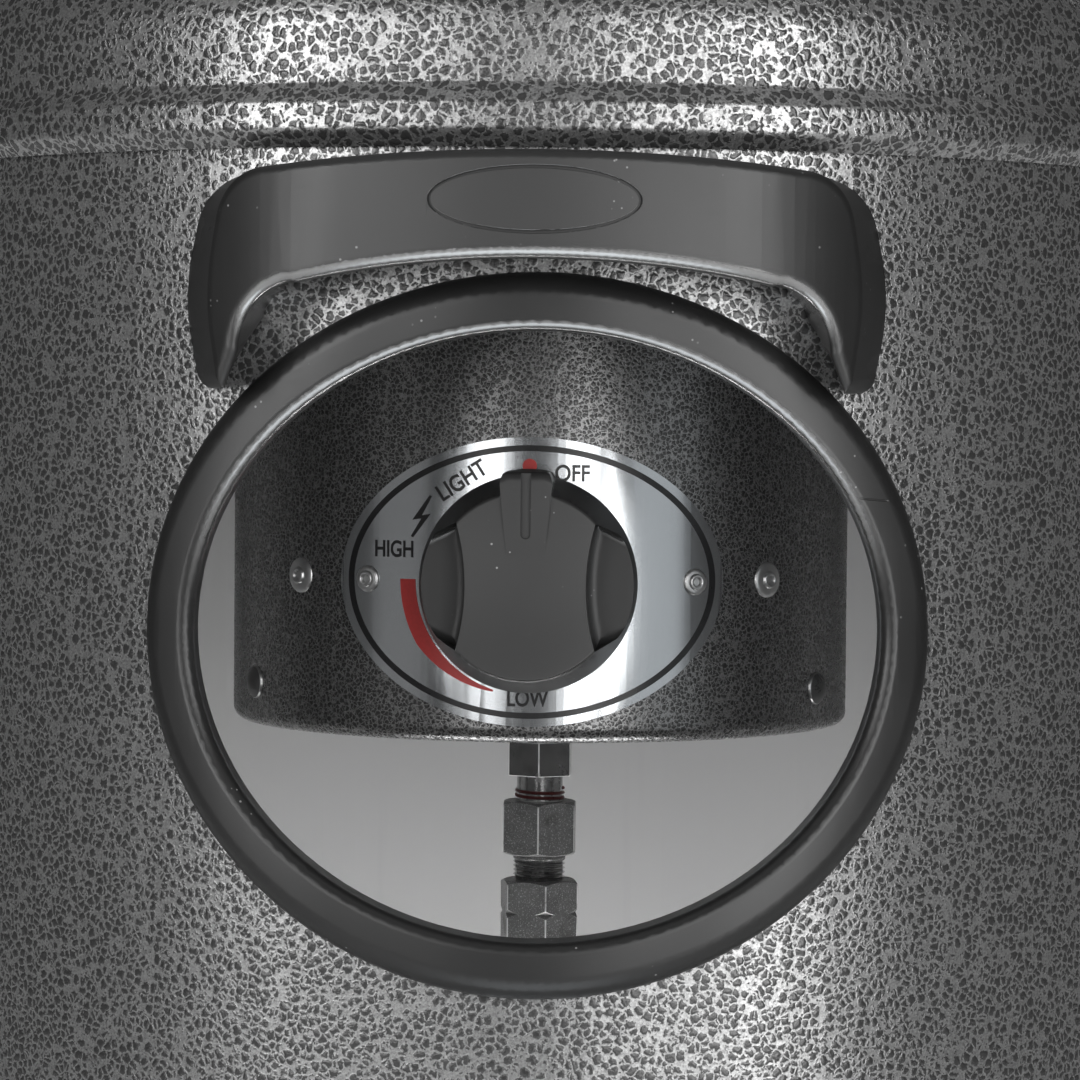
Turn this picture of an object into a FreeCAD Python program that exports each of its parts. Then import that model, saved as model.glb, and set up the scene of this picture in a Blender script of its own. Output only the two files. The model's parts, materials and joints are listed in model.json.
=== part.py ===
import FreeCAD, Part
import math
import os

# Mushroom patio heater: a round base and four uprights carry a post bracket, from which the
# control box hangs. The tank housing slides up the post, the knob pushes and turns, and a gas
# burner stands on the post under a wide reflector. Millimetres, +Z up, the front faces -Y.

# Clearances
seat_gap = 0.2
running_gap = 0.3
shaft_gap = 0.08
hole_gap = 0.5
fit_gap = 0.1
skin_gap = 0.05

# Base and uprights
base_reach = 45.0
base_sheet = 2.0
base_bend = 3.0
rim_gap = 5.0
rim_lip = 14.0
ledge_z = 22.0
plateau_rise = 6.0
drain_r = 12.0
foot_r = 12.0
foot_set = 3.0
leg_x = 150.0
leg_y = 70.0
leg_side = 20.0
leg_wall = 1.5
leg_flange = 4.0
leg_flange_reach = 22.0
flange_round = 3.0
bolt_r = 4.0
bracket_margin = 2.0
bracket_round = 14.0

# Tank housing and its cover
housing_r = 195.0
housing_sheet = 1.2
housing_height = 808.0
cover_lap = 28.0
cover_wall_height = 52.0
cover_rise = 44.0
cover_neck = 14.0
bead_height = 16.0
bead_proud = 3.6
bead_bend = 2.8
shoulder_bend = 30.0
neck_bend = 8.0
neck_wall = 5.0
bush_set = 5.0
bush_lip = 3.0
bush_lip_height = 2.5
vent_count = 16
vent_width = 8.0
vent_height = 42.0
vent_rise = 26.0
cover_screw_r = 5.0
housing_turn = 1.7

# Ringed opening; the soft ring is fuller on its right side
trim_half_w = 97.6
trim_half_h = 87.2
trim_width = 15.2
trim_side_width = 13.2
trim_depth = 16.0
trim_round = 6.8
trim_lip_round = 3.2
trim_grip = 6.0
trim_below_knob = 9.6

# Front handle; drops are counted from its top
handle_half_w = 94.8
handle_draw = 8.5
handle_height = 61.2
handle_below_seam = 2.6
handle_proud = 30.0
handle_round = 2.8
handle_lip = 3.6
handle_wall = 5.0
handle_crown = 3.4
handle_turn = -0.3
handle_shoulder_set = 6.0
handle_shoulder_drop = 5.5
handle_shoulder_round = 16.0
handle_belly_drop = 36.5
handle_tip_set = 4.5
handle_tip_round = 5.0
arch_half_w = 82.0
arch_rear_w = 66.0
arch_crown_drop = 20.1
arch_rear_crown_drop = 26.0
arch_shoulder_drop = 38.2
arch_rear_shoulder_drop = 34.0
arch_foot_drop = 70.0
arch_foot_spread = 12.5
arch_round = 24.0
arch_rear_round = 8.0
arch_crown_round = 310.0
pocket_round = 14.0
oval_half_w = 27.3
oval_half_h = 8.8
oval_line = 1.1
oval_depth = 0.6
oval_drop = 12.8

# Control box
bracket_below_seam = 15.0
bracket_sheet = 5.0
knob_below_seam = 118.0
box_r = 95.0
box_sheet = 1.2
box_below_knob = 46.4
box_lip = 9.0
box_lip_round = 4.0
front_half_angle = 80.0
rear_half_angle = 122.0
lead_hole_r = 26.0
plate_half_w = 55.4
plate_half_h = 41.4
plate_sheet = 0.8
spindle_hole_r = 12.0
bracket_rivet_r = 5.2
plate_rivet_r = 3.9
rivet_height = 1.8
screw_r = 4.4
box_screw_r = 4.85
screw_height = 2.6
head_foot = 1.0
plate_rivet_angle = 29.5
bracket_rivet_angle = 46.0
box_screw_angle = 61.6
box_screw_drop = 33.0
box_screw_lift = 40.0

# Valve, knob and igniter
valve_width = 34.0
valve_height = 42.0
valve_rear = 14.0
valve_round = 4.0
outlet_wall = 3.0
outlet_rise = 8.0
bore_floor = 1.0
plug_set = 4.0
plug_floor = 3.0
strap_sheet = 2.0
strap_height = 30.0
strap_set = 26.0
strap_tab_angle = 6.0
boss_r = 9.5
boss_length = 22.0
plug_r = 6.2
plug_length = 40.0
spindle_r = 4.0
spindle_seat = 12.0
push_travel = 6.0
knob_float = 1.2
knob_r = 31.0
knob_skirt = 3.0
knob_depth = 25.0
knob_face_r = 26.4
knob_edge = 0.9
grip_waist = 16.8
grip_half_w = 19.4
grip_shoulder = 17.8
scoop_floor = 8.0
scoop_mouth = 10.5
scoop_round = 3.0
pointer_half_w = 7.6
pointer_root_w = 5.2
pointer_root = 8.0
pointer_reach = 30.6
pointer_proud = 1.8
pointer_round = 2.5
groove_width = 2.8
groove_root = 13.5
groove_depth = 1.2
igniter_height = 18.0
igniter_margin = 1.0
igniter_round = 2.0
switch_x = -46.0
switch_y = 38.0
switch_half_x = 12.0
switch_half_y = 14.0
switch_height = 21.0
terminal_r = 3.0
terminal_height = 6.0
magnet_r = 7.0
magnet_length = 20.0

# Gas fittings below the box
inlet_boss_r = 10.0
inlet_boss_drop = 14.0
inlet_af = 19.0
inlet_hex = 10.6
nipple_r = 7.1
nipple_length = 8.0
coupling_af = 22.0
coupling_hex = 16.5
thread_r = 8.1
thread_length = 8.0
union_af = 22.0
union_length = 20.0
union_turn = 11.7
union_notch = 1.4
tail_r = 5.5
tail_length = 30.0
barb_rise = 0.9
barb_count = 3

# Post and burner head
post_r = 30.0
post_wall = 1.5
post_length = 965.0
post_flange_r = 60.0
post_flange = 5.0
post_bolt_circle = 46.0
gas_tube_r = 4.0
gas_tube_wall = 1.0
head_sheet = 1.2
head_lap = 43.0
head_r = 88.0
head_flare = 53.0
head_wall = 44.0
head_bend = 14.0
jet_af = 14.0
jet_length = 14.0
jet_rise = 4.0
jet_bore_r = 1.0
mixer_r = 13.0
mixer_mouth_r = 5.0
mixer_gap = 0.6
mixer_length = 20.0
pot_set = 5.0
pot_wall = 12.0
port_set = 8.0
port_pitch = 16.0
port_count = 20
inner_port_count = 12
burner_plate_sheet = 2.0
burner_rim = 14.0
burner_hole_r = 3.0
electrode_out = 58.0
electrode_r = 3.5
electrode_height = 24.0
electrode_foot = 12.0
collar_set = 3.0
collar_height = 3.0
tip_r = 2.2
lead_rise = 2.0
lead_tail = 24.0
thermo_rise = 52.0
lead_r = 1.8
lead_bend = 14.0
screen_foot_r = 82.0
screen_top_r = 96.0
screen_height = 208.0
screen_collar = 14.0
screen_sheet = 1.0
screen_bend = 6.0
screen_hole_r = 6.0
screen_columns = 18
screen_rows = 7
cap_rise = 16.0
cap_flat_r = 74.0
cap_sheet = 1.2
cap_skirt = 12.0
cap_edge = 3.0
cap_bend = 5.0

# Reflector
reflector_r = 406.5
reflector_sheet = 1.2
reflector_flat_r = 118.0
reflector_drop = 74.0
reflector_edge = 12.0
reflector_edge_set = 8.0
reflector_bend = 60.0
reflector_lift = 74.0
stud_circle = 60.0
stud_count = 3
stud_first = 90.0
stud_spare = 3.0
stud_r = 4.0
spacer_r = 8.0
washer_r = 14.0
washer_sheet = 2.0
wing_span = 20.0
wing_height = 14.0
wing_sheet = 3.5
nut_r = 7.5

# Heights and radii that follow
plateau_z = ledge_z + plateau_rise
seam_z = ledge_z + housing_height
base_r = housing_r + base_reach
bracket_z = seam_z - bracket_below_seam
bracket_top = bracket_z + bracket_sheet
knob_z = seam_z - knob_below_seam
trim_z = knob_z - trim_below_knob
handle_top = seam_z - handle_below_seam
box_floor_z = knob_z - box_below_knob
wall_in = housing_r - housing_sheet
box_in = box_r - box_sheet
rear_r = box_in - fit_gap
rear_in = rear_r - box_sheet
strap_y = box_r - strap_set
valve_front = strap_y - strap_sheet
valve_bottom = knob_z - valve_height / 2
valve_top = knob_z + valve_height / 2
boss_bottom = box_floor_z - inlet_boss_drop / 2
post_top = bracket_top + post_length
cover_r = housing_r + running_gap
cover_shoulder = seam_z + cover_wall_height
cover_top = cover_shoulder + cover_rise
plate_r = box_r + skin_gap
knob_back = plate_r + plate_sheet + knob_float + push_travel
knob_face = knob_back + knob_depth
burner_z = post_top + head_flare + head_wall
screen_top = burner_z + screen_height
cap_top = screen_top + cap_rise
reflector_z = cap_top + reflector_lift
lead_x = 12.0
lead_y = -18.0

origin = FreeCAD.Vector(0, 0, 0)
up = FreeCAD.Vector(0, 0, 1)
right = FreeCAD.Vector(1, 0, 0)
nodes = {}


def vec(x, y, z):
    return FreeCAD.Vector(x, y, z)


# Tangent point, middle and tangent point of one rounded corner (a, b, radius).
def corner_arc(before, here, after):
    radius = here[2] if len(here) > 2 else 0.0
    point = vec(here[0], here[1], 0)
    if radius <= 0:
        return point, None, point
    back = (vec(before[0], before[1], 0) - point).normalize()
    ahead = (vec(after[0], after[1], 0) - point).normalize()
    half = back.getAngle(ahead) / 2
    if half > math.radians(89.9):
        return point, None, point
    run = radius / math.tan(half)
    bisector = (back + ahead).normalize()
    middle = point + bisector * (radius / math.sin(half) - radius)
    return point + back * run, middle, point + ahead * run


# Closed outline through corners (a, b, radius); place turns (a, b) into a point in space.
def outline(corners, place):
    arcs = []
    for i, here in enumerate(corners):
        arcs.append(corner_arc(corners[i - 1], here, corners[(i + 1) % len(corners)]))
    edges = []
    for i, (entry, middle, leave) in enumerate(arcs):
        following = arcs[(i + 1) % len(arcs)][0]
        if middle is not None:
            edges.append(Part.Arc(place(entry), place(middle), place(leave)).toShape())
        if (following - leave).Length > 1e-6:
            edges.append(Part.LineSegment(place(leave), place(following)).toShape())
    return Part.Wire(edges)


# Solid of revolution about the Z axis from corners (radius, z, rounding).
def revolved(corners, angle=360.0):
    face = Part.Face(outline(corners, lambda p: vec(p.x, 0, p.y)))
    return face.revolve(origin, up, angle)


# Corners of a sheet of the given thickness along a middle line (a, b, bend).
def sheet(path, thickness):
    sides = ([], [])
    for i, here in enumerate(path):
        turns = []
        for j in (i - 1, i):
            if 0 <= j < len(path) - 1:
                run = vec(path[j + 1][0] - path[j][0], path[j + 1][1] - path[j][1], 0)
                turns.append(run.normalize())
        normals = [vec(-t.y, t.x, 0) for t in turns]
        mitre = normals[0]
        bend_side = 0.0
        if len(turns) == 2:
            mitre = (normals[0] + normals[1]) * (1 / (1 + normals[0].dot(normals[1])))
            bend_side = math.copysign(1.0, turns[0].cross(turns[1]).z)
        bend = here[2] if len(here) > 2 else 0.0
        for side, sign in zip(sides, (1, -1)):
            shift = mitre * (sign * thickness / 2)
            radius = max(bend - sign * bend_side * thickness / 2, 0.0) if bend else 0.0
            side.append((here[0] + shift.x, here[1] + shift.y, radius))
    return sides[0] + sides[1][::-1]


# Straight solid on an outline in the XY plane.
def prism(corners, z0, z1):
    face = Part.Face(outline(corners, lambda p: vec(p.x, p.y, z0)))
    return face.extrude(vec(0, 0, z1 - z0))


# Straight solid on an outline seen from the front, from one depth towards the viewer to another.
def front_prism(corners, depth0, depth1):
    face = Part.Face(outline(corners, lambda p: vec(p.x, -depth0, p.y)))
    return face.extrude(vec(0, depth0 - depth1, 0))


def rod(radius, z0, z1, x=0.0, y=0.0):
    return Part.makeCylinder(radius, z1 - z0, vec(x, y, z0))


def tube(outer, inner, z0, z1, x=0.0, y=0.0):
    return rod(outer, z0, z1, x, y).cut(rod(inner, z0, z1, x, y))


# Rod along the front-to-back axis, between two depths towards the viewer.
def front_rod(radius, depth0, depth1, x, z):
    return Part.makeCylinder(radius, depth1 - depth0, vec(x, -depth0, z), vec(0, -1, 0))


def box(x0, x1, y0, y1, z0, z1):
    return Part.makeBox(x1 - x0, y1 - y0, z1 - z0, vec(x0, y0, z0))


def rectangle(half_x, half_y, rounding=0.0):
    signs = ((-1, -1), (1, -1), (1, 1), (-1, 1))
    return [(sx * half_x, sy * half_y, rounding) for sx, sy in signs]


def hexagon(across_flats, z0, z1, turn=0.0):
    reach = across_flats / math.sqrt(3)
    angles = [math.radians(turn + 60 * i) for i in range(6)]
    return prism([(reach * math.cos(a), reach * math.sin(a)) for a in angles], z0, z1)


# Elliptical solid seen from the front, between two depths.
def front_oval(half_w, half_h, z, depth0, depth1):
    wide = half_w >= half_h
    major = vec(half_w, 0, 0) if wide else vec(0, 0, half_h)
    minor = vec(0, 0, half_h) if wide else vec(half_w, 0, 0)
    centre = vec(0, -depth0, z)
    ellipse = Part.Ellipse(centre + major, centre + minor, centre)
    face = Part.Face(Part.Wire([ellipse.toShape()]))
    return face.extrude(vec(0, depth0 - depth1, 0))


# Turns a piece that points up so that it points out of an upright round wall.
def on_wall(shape, radius, angle, z):
    piece = shape.copy()
    piece.rotate(origin, right, 90)
    piece.translate(vec(0, -radius, z))
    piece.rotate(origin, up, angle)
    return piece


# Domed head of a rivet or screw, its foot sunk far enough to meet a curved wall.
def domed_head(radius, height, foot):
    return revolved([(0, -foot), (radius, -foot), (radius, height * 0.45, height * 0.4), (0, height)])


# Copies of a head on a wall of one radius, cut to the wall's curve.
def heads_on_wall(head, radius, places):
    wall = rod(radius, 0, reflector_z)
    return Part.makeCompound([on_wall(head, radius, angle, z).cut(wall) for angle, z in places])


def around(shape, count, first=0.0):
    copies = []
    for i in range(count):
        piece = shape.copy()
        piece.rotate(origin, up, first + 360.0 * i / count)
        copies.append(piece)
    return copies


# Round bar along straight runs joined by tangent arcs of one radius.
def bent_rod(points, radius, bend):
    edges = []
    start = points[0]
    for before, here, after in zip(points, points[1:], points[2:]):
        back = (before - here).normalize()
        ahead = (after - here).normalize()
        half = back.getAngle(ahead) / 2
        run = bend / math.tan(half)
        bisector = (back + ahead).normalize()
        middle = here + bisector * (bend / math.sin(half) - bend)
        edges.append(Part.LineSegment(start, here + back * run).toShape())
        edges.append(Part.Arc(here + back * run, middle, here + ahead * run).toShape())
        start = here + ahead * run
    edges.append(Part.LineSegment(start, points[-1]).toShape())
    circle = Part.Circle(points[0], points[1] - points[0], radius)
    return Part.Wire(edges).makePipeShell([Part.Wire([circle.toShape()])], True, False)


def keep(name, shape):
    nodes[name] = shape


# The housing hangs a little turned on the post, with all that it carries.
def keep_on_housing(name, shape, turn=0.0):
    piece = shape.copy()
    piece.rotate(origin, up, housing_turn + turn)
    keep(name, piece)


# Base, feet and uprights
def make_base():
    plateau_r = wall_in - running_gap * 4 - base_sheet / 2
    half = base_sheet / 2
    pan = revolved(sheet([
        (drain_r, plateau_z - half),
        (plateau_r, plateau_z - half, base_bend),
        (plateau_r, ledge_z - half, base_bend),
        (base_r - half, ledge_z - half, base_bend * 2.5),
        (base_r - half, rim_gap + half, base_bend * 1.3),
        (base_r - rim_lip, rim_gap + half)], base_sheet))
    foot_circle = plateau_r + base_sheet + foot_r + foot_set
    foot_top = ledge_z - base_sheet
    foot = revolved([(0, 0), (foot_r * 0.85, 0, foot_r / 8), (foot_r, foot_top), (0, foot_top)])
    foot.translate(vec(foot_circle, 0, 0))
    keep("base_plate", pan)
    keep("base_feet", Part.makeCompound(around(foot, 4, 45)))


# Feet of the flange bolts, two on each flange of an upright.
def flange_bolt_places():
    inner = leg_x - leg_side / 2 - leg_flange_reach / 2
    return [(inner, leg_y - leg_side / 4), (inner, leg_y + leg_side / 4)]


def bolt(x, y, seat_z, sign):
    head = rod(bolt_r * 1.7, 0, bolt_r * 1.3)
    piece = head.makeFillet(bolt_r * 0.3, [head.Edges[0]])
    if sign < 0:
        piece.rotate(origin, right, 180)
    piece.translate(vec(x, y, seat_z))
    return piece


def make_uprights():
    half = leg_side / 2
    inner_half = half - leg_wall
    reach = half + leg_flange_reach
    flange_corners = [(leg_x - reach, leg_y - half, flange_round), (leg_x + half, leg_y - half, flange_round),
                      (leg_x + half, leg_y + half, flange_round), (leg_x - reach, leg_y + half, flange_round)]
    foot_z = plateau_z + leg_flange
    crown_z = bracket_z - leg_flange
    wall = prism(rectangle(half, half, leg_wall * 1.7), foot_z, crown_z)
    bore = prism(rectangle(inner_half, inner_half, leg_wall * 0.8), foot_z, crown_z)
    bar = wall.cut(bore)
    bar.translate(vec(leg_x, leg_y, 0))
    foot = prism(flange_corners, plateau_z, foot_z)
    crown = prism(flange_corners, crown_z, bracket_z)
    leg = bar.fuse([foot, crown]).removeSplitter()
    bolts = []
    for x, y in flange_bolt_places():
        bolts.append(bolt(x, y, foot_z, 1))
        bolts.append(bolt(x, y, crown_z, -1))
    bolts = Part.makeCompound(bolts)
    keep("support_legs", Part.makeCompound(four_corners(leg)))
    keep("leg_bolts", Part.makeCompound(four_corners(bolts)))


# The piece at the right rear corner and its three mirror images.
def four_corners(shape):
    left = shape.mirror(origin, right)
    pair = [shape, left]
    return pair + [piece.mirror(origin, vec(0, 1, 0)) for piece in pair]


# Bracket across the uprights and the post that stands on it
def make_post():
    half_x = leg_x + leg_side / 2 + bracket_margin
    half_y = leg_y + leg_side / 2 + bracket_margin
    plate = prism(rectangle(half_x, half_y, bracket_round), bracket_z, bracket_top)
    keep("post_bracket", plate.cut(rod(lead_hole_r, bracket_z, bracket_top)))
    flange = tube(post_flange_r, post_r - post_wall, bracket_top, bracket_top + post_flange)
    column = tube(post_r, post_r - post_wall, bracket_top, post_top)
    keep("post", column.fuse(flange).removeSplitter())
    fixing = bolt(post_bolt_circle, 0, bracket_top + post_flange, 1)
    keep("post_bolts", Part.makeCompound(around(fixing, 4, 45)))


# Part of a turned sheet between two angles counted from the front.
def wall_sector(corners, first, last):
    piece = revolved(corners, last - first)
    piece.rotate(origin, up, first - 90)
    return piece


# Control box: front and rear shells, floor, screws and rivets
def make_control_box():
    mid = box_r - box_sheet / 2
    lip_z = box_floor_z + box_sheet / 2
    front_path = [(mid, bracket_z - seat_gap), (mid, lip_z, box_lip_round), (mid - box_lip, lip_z)]
    front = wall_sector(sheet(front_path, box_sheet), -front_half_angle, front_half_angle)
    keep("control_box_front", front.cut(front_rod(spindle_hole_r, strap_y, box_r + 1, 0, knob_z)))
    rear_mid = rear_r - box_sheet / 2
    floor_z = box_floor_z + box_sheet + fit_gap
    roof_z = bracket_z - box_sheet / 2
    rear_path = [(rear_mid - box_lip, roof_z), (rear_mid, roof_z, box_lip_round),
                 (rear_mid, floor_z + box_lip_round)]
    keep("control_box_rear", wall_sector(sheet(rear_path, box_sheet), 180 - rear_half_angle,
                                         180 + rear_half_angle))
    rim = rear_in - fit_gap - box_sheet / 2
    floor_mid = floor_z + box_sheet / 2
    floor_path = [(inlet_boss_r + hole_gap, floor_mid), (rim, floor_mid, box_lip_round),
                  (rim, floor_z + box_lip)]
    keep("box_floor", revolved(sheet(floor_path, box_sheet)))
    screw = domed_head(box_screw_r, screw_height, head_foot)
    heights = (knob_z + box_screw_lift, knob_z - box_screw_drop)
    screws = [(side * box_screw_angle, z) for side in (-1, 1) for z in heights]
    keep("box_screws", heads_on_wall(screw, box_r, screws))
    rivet = domed_head(bracket_rivet_r, rivet_height, head_foot)
    keep("bracket_rivets", heads_on_wall(rivet, box_r, [(-bracket_rivet_angle, knob_z),
                                                        (bracket_rivet_angle, knob_z)]))
    rivet = domed_head(plate_rivet_r, rivet_height, head_foot)
    keep("plate_rivets", heads_on_wall(rivet, plate_r + plate_sheet, [(-plate_rivet_angle, knob_z),
                                                                      (plate_rivet_angle, knob_z)]))


def make_dial_plate():
    oval = front_oval(plate_half_w, plate_half_h, knob_z, 0, box_r * 2)
    shell = tube(plate_r + plate_sheet, plate_r, knob_z - plate_half_h - 1, knob_z + plate_half_h + 1)
    plate = shell.common(oval)
    keep("dial_plate", plate.cut(front_rod(spindle_hole_r, 0, box_r * 2, 0, knob_z)))


# Gas valve on its strap, with the plug, spindle, magnet and igniter
def make_valve():
    tab_angle = bracket_rivet_angle
    strap_half = strap_y * math.tan(math.radians(tab_angle - strap_tab_angle / 2))
    low = knob_z - strap_height / 2
    high = knob_z + strap_height / 2
    strap = box(-strap_half, strap_half, -strap_y, -valve_front, low, high)
    tab = [(box_in - strap_sheet, low), (box_in, low), (box_in, high), (box_in - strap_sheet, high)]
    for side in (-1, 1):
        first = side * tab_angle - strap_tab_angle
        strap = strap.fuse(wall_sector(tab, first, first + strap_tab_angle * 2))
    strap = strap.common(rod(box_in, low, high))
    strap = strap.cut(front_rod(boss_r + hole_gap, 0, box_r, 0, knob_z)).removeSplitter()
    keep("valve_bracket", strap)
    half = valve_width / 2
    body = box(-half, half, -valve_front, valve_rear, valve_bottom, valve_top)
    body = body.makeFillet(valve_round, [e for e in body.Edges if abs(e.tangentAt(e.FirstParameter).y) > 0.9])
    body = body.fuse(front_rod(boss_r, valve_front - strap_sheet, valve_front + boss_length, 0, knob_z))
    body = body.fuse(rod(inlet_boss_r, boss_bottom, knob_z))
    body = body.fuse(rod(gas_tube_r + outlet_wall, knob_z, valve_top + outlet_rise))
    bore_end = valve_front - plug_length
    body = body.cut(front_rod(plug_r + shaft_gap, bore_end - bore_floor, box_r, 0, knob_z)).removeSplitter()
    keep("valve_body", body)
    plug = front_rod(plug_r, bore_end, valve_front - plug_set, 0, knob_z)
    keep("valve_plug", plug.cut(front_rod(spindle_r + shaft_gap, bore_end + plug_floor, box_r, 0, knob_z)))
    spindle_end = bore_end + plug_floor + knob_float + push_travel
    keep("valve_spindle", front_rod(spindle_r, spindle_end, knob_back + spindle_seat, 0, knob_z))
    keep("magnet_unit", front_rod(magnet_r, -valve_rear - magnet_length, -valve_rear, 0, knob_z))
    inset = igniter_round
    igniter_top = valve_top + igniter_height
    igniter = box(-half + inset, half - inset, -valve_front + inset, lead_y + terminal_r + igniter_margin,
                  valve_top, igniter_top)
    igniter = igniter.makeFillet(igniter_round, upright_edges(igniter))
    stem = rod(terminal_r, igniter_top - terminal_height / 6, igniter_top + terminal_height, lead_x, lead_y)
    keep("igniter_unit", igniter.fuse(stem))
    switch_z = box_floor_z + box_sheet * 2 + fit_gap
    switch = box(switch_x - switch_half_x, switch_x + switch_half_x, switch_y - switch_half_y,
                 switch_y + switch_half_y, switch_z, switch_z + switch_height)
    keep("tilt_switch", switch.makeFillet(igniter_round, upright_edges(switch)))


def upright_edges(shape):
    return [edge for edge in shape.Edges if abs(edge.tangentAt(edge.FirstParameter).z) > 0.9]


# Gas fittings in line under the valve
def make_fittings():
    hex_top = boss_bottom
    hex_low = hex_top - inlet_hex
    nipple_low = hex_low - nipple_length
    inlet = hexagon(inlet_af, hex_low, hex_top, 30)
    keep("inlet_fitting", inlet.fuse(rod(nipple_r, nipple_low, hex_low)).removeSplitter())
    coupling_low = nipple_low - coupling_hex
    thread_low = coupling_low - thread_length
    coupling = hexagon(coupling_af, coupling_low, nipple_low, 30)
    coupling = coupling.common(bevelled_rod(coupling_af, coupling_low, nipple_low))
    keep("adapter_coupling", coupling.fuse(rod(thread_r, thread_low, coupling_low)).removeSplitter())
    union_low = thread_low - union_length
    union = hexagon(union_af, union_low, thread_low, 30 + union_turn)
    union = union.common(bevelled_rod(union_af, union_low, thread_low))
    keep("union_nut", union.cut(left_hand_notch(union_low + union_length / 2)))
    keep("hose_tail", barbed_tail(union_low))


# Round blank with bevelled ends that takes the sharp tips off a hexagon.
def bevelled_rod(across_flats, z0, z1):
    reach = across_flats / math.sqrt(3)
    bevel = reach - across_flats / 2 + 0.4
    flat = reach - bevel
    rise = bevel / 2
    return revolved([(0, z0), (flat, z0), (reach, z0 + rise), (reach, z1 - rise), (flat, z1), (0, z1)])


# Groove across the corners of a union nut, the sign of a left-hand thread.
def left_hand_notch(z):
    reach = union_af / math.sqrt(3)
    floor_r = reach - union_notch
    return revolved([(floor_r, z), (reach + 1, z - union_notch - 1), (reach + 1, z + union_notch + 1)])


def barbed_tail(top):
    step = tail_length / (barb_count + 1)
    corners = [(0, top), (tail_r, top)]
    for i in range(barb_count):
        shelf = top - step * (i + 1)
        corners.append((tail_r, shelf))
        corners.append((tail_r + barb_rise, shelf))
        corners.append((tail_r, shelf - step * 0.8))
    corners.append((tail_r, top - tail_length))
    corners.append((0, top - tail_length))
    return revolved(corners)


# Gas tube, jet, mixer and burner plate inside the head cup
def make_burner():
    sleeve = post_r + fit_gap + head_sheet / 2
    cup = [(sleeve, post_top - head_lap), (sleeve, post_top, head_bend),
           (head_r, post_top + head_flare, head_bend), (head_r, burner_z)]
    keep("head_cup", revolved(sheet(cup, head_sheet)))
    screw = domed_head(screw_r, screw_height, head_foot)
    places = [(angle, post_top - head_lap / 2) for angle in (60, 180, 300)]
    keep("head_screws", heads_on_wall(screw, sleeve + head_sheet / 2, places))
    jet_z = post_top + jet_rise
    jet_top = jet_z + jet_length
    keep("gas_tube", tube(gas_tube_r, gas_tube_r - gas_tube_wall, valve_top + outlet_rise, jet_z))
    keep("burner_jet", hexagon(jet_af, jet_z, jet_top).cut(rod(jet_bore_r, jet_z, jet_top)))
    pot_r = electrode_out - pot_set
    plate_low = burner_z - burner_plate_sheet
    mixer_z = jet_top + mixer_gap
    mixer = [(mixer_mouth_r, mixer_z), (mixer_r, mixer_z, mixer_r / 6),
             (mixer_r, mixer_z + mixer_length, mixer_r / 2),
             (pot_r, plate_low - pot_wall, pot_wall / 2), (pot_r, plate_low)]
    keep("burner_mixer", revolved(sheet(mixer, head_sheet)))
    rim = head_r - head_sheet / 2 - fit_gap - burner_plate_sheet / 2
    tray_z = burner_z - burner_plate_sheet / 2
    tray = [(0, tray_z), (rim, tray_z, burner_plate_sheet * 2), (rim, burner_z - burner_rim)]
    plate = revolved(sheet(tray, burner_plate_sheet))
    low = burner_z - burner_rim
    port = rod(burner_hole_r, low, burner_z, pot_r - port_set, 0)
    inner_port = rod(burner_hole_r, low, burner_z, pot_r - port_set - port_pitch, 0)
    holes = around(port, port_count) + around(inner_port, inner_port_count)
    for side in (-1, 1):
        holes.append(rod(electrode_r + seat_gap, low, burner_z, side * electrode_out, side * lead_y))
    keep("burner_plate", plate.cut(Part.makeCompound(holes)))


# Electrode and thermocouple tip, each hung in the burner plate by its collar
def make_ignition():
    foot = burner_z - electrode_foot
    collar_r = electrode_r + collar_set
    collar_top = burner_z + collar_height
    stem = rod(electrode_r, foot, burner_z + electrode_height, electrode_out, lead_y)
    collar = rod(collar_r, burner_z, collar_top, electrode_out, lead_y)
    keep("electrode", stem.fuse(collar).removeSplitter())
    tip = revolved([(0, foot), (electrode_r, foot), (electrode_r, burner_z), (collar_r, burner_z),
                    (collar_r, collar_top), (tip_r, collar_top),
                    (tip_r, burner_z + electrode_height, tip_r * 0.9), (0, burner_z + electrode_height)])
    tip.translate(vec(-electrode_out, -lead_y, 0))
    keep("thermocouple_tip", tip)
    start = valve_top + igniter_height + terminal_height
    bend_z = post_top + lead_rise
    ignition_path = [vec(lead_x, lead_y, start), vec(lead_x, lead_y, bend_z),
                     vec(electrode_out, lead_y, foot - lead_tail), vec(electrode_out, lead_y, foot)]
    keep("ignition_lead", bent_rod(ignition_path, lead_r, lead_bend))
    rear = valve_rear + magnet_length
    turn_y = rear + lead_bend * 1.2
    thermo_path = [vec(0, rear, knob_z), vec(0, turn_y, knob_z), vec(0, turn_y, knob_z + thermo_rise),
                   vec(-lead_x, -lead_y, bracket_z - lead_bend), vec(-lead_x, -lead_y, bend_z),
                   vec(-electrode_out, -lead_y, foot - lead_tail), vec(-electrode_out, -lead_y, foot)]
    keep("thermocouple_lead", bent_rod(thermo_path, lead_r, lead_bend))


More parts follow.
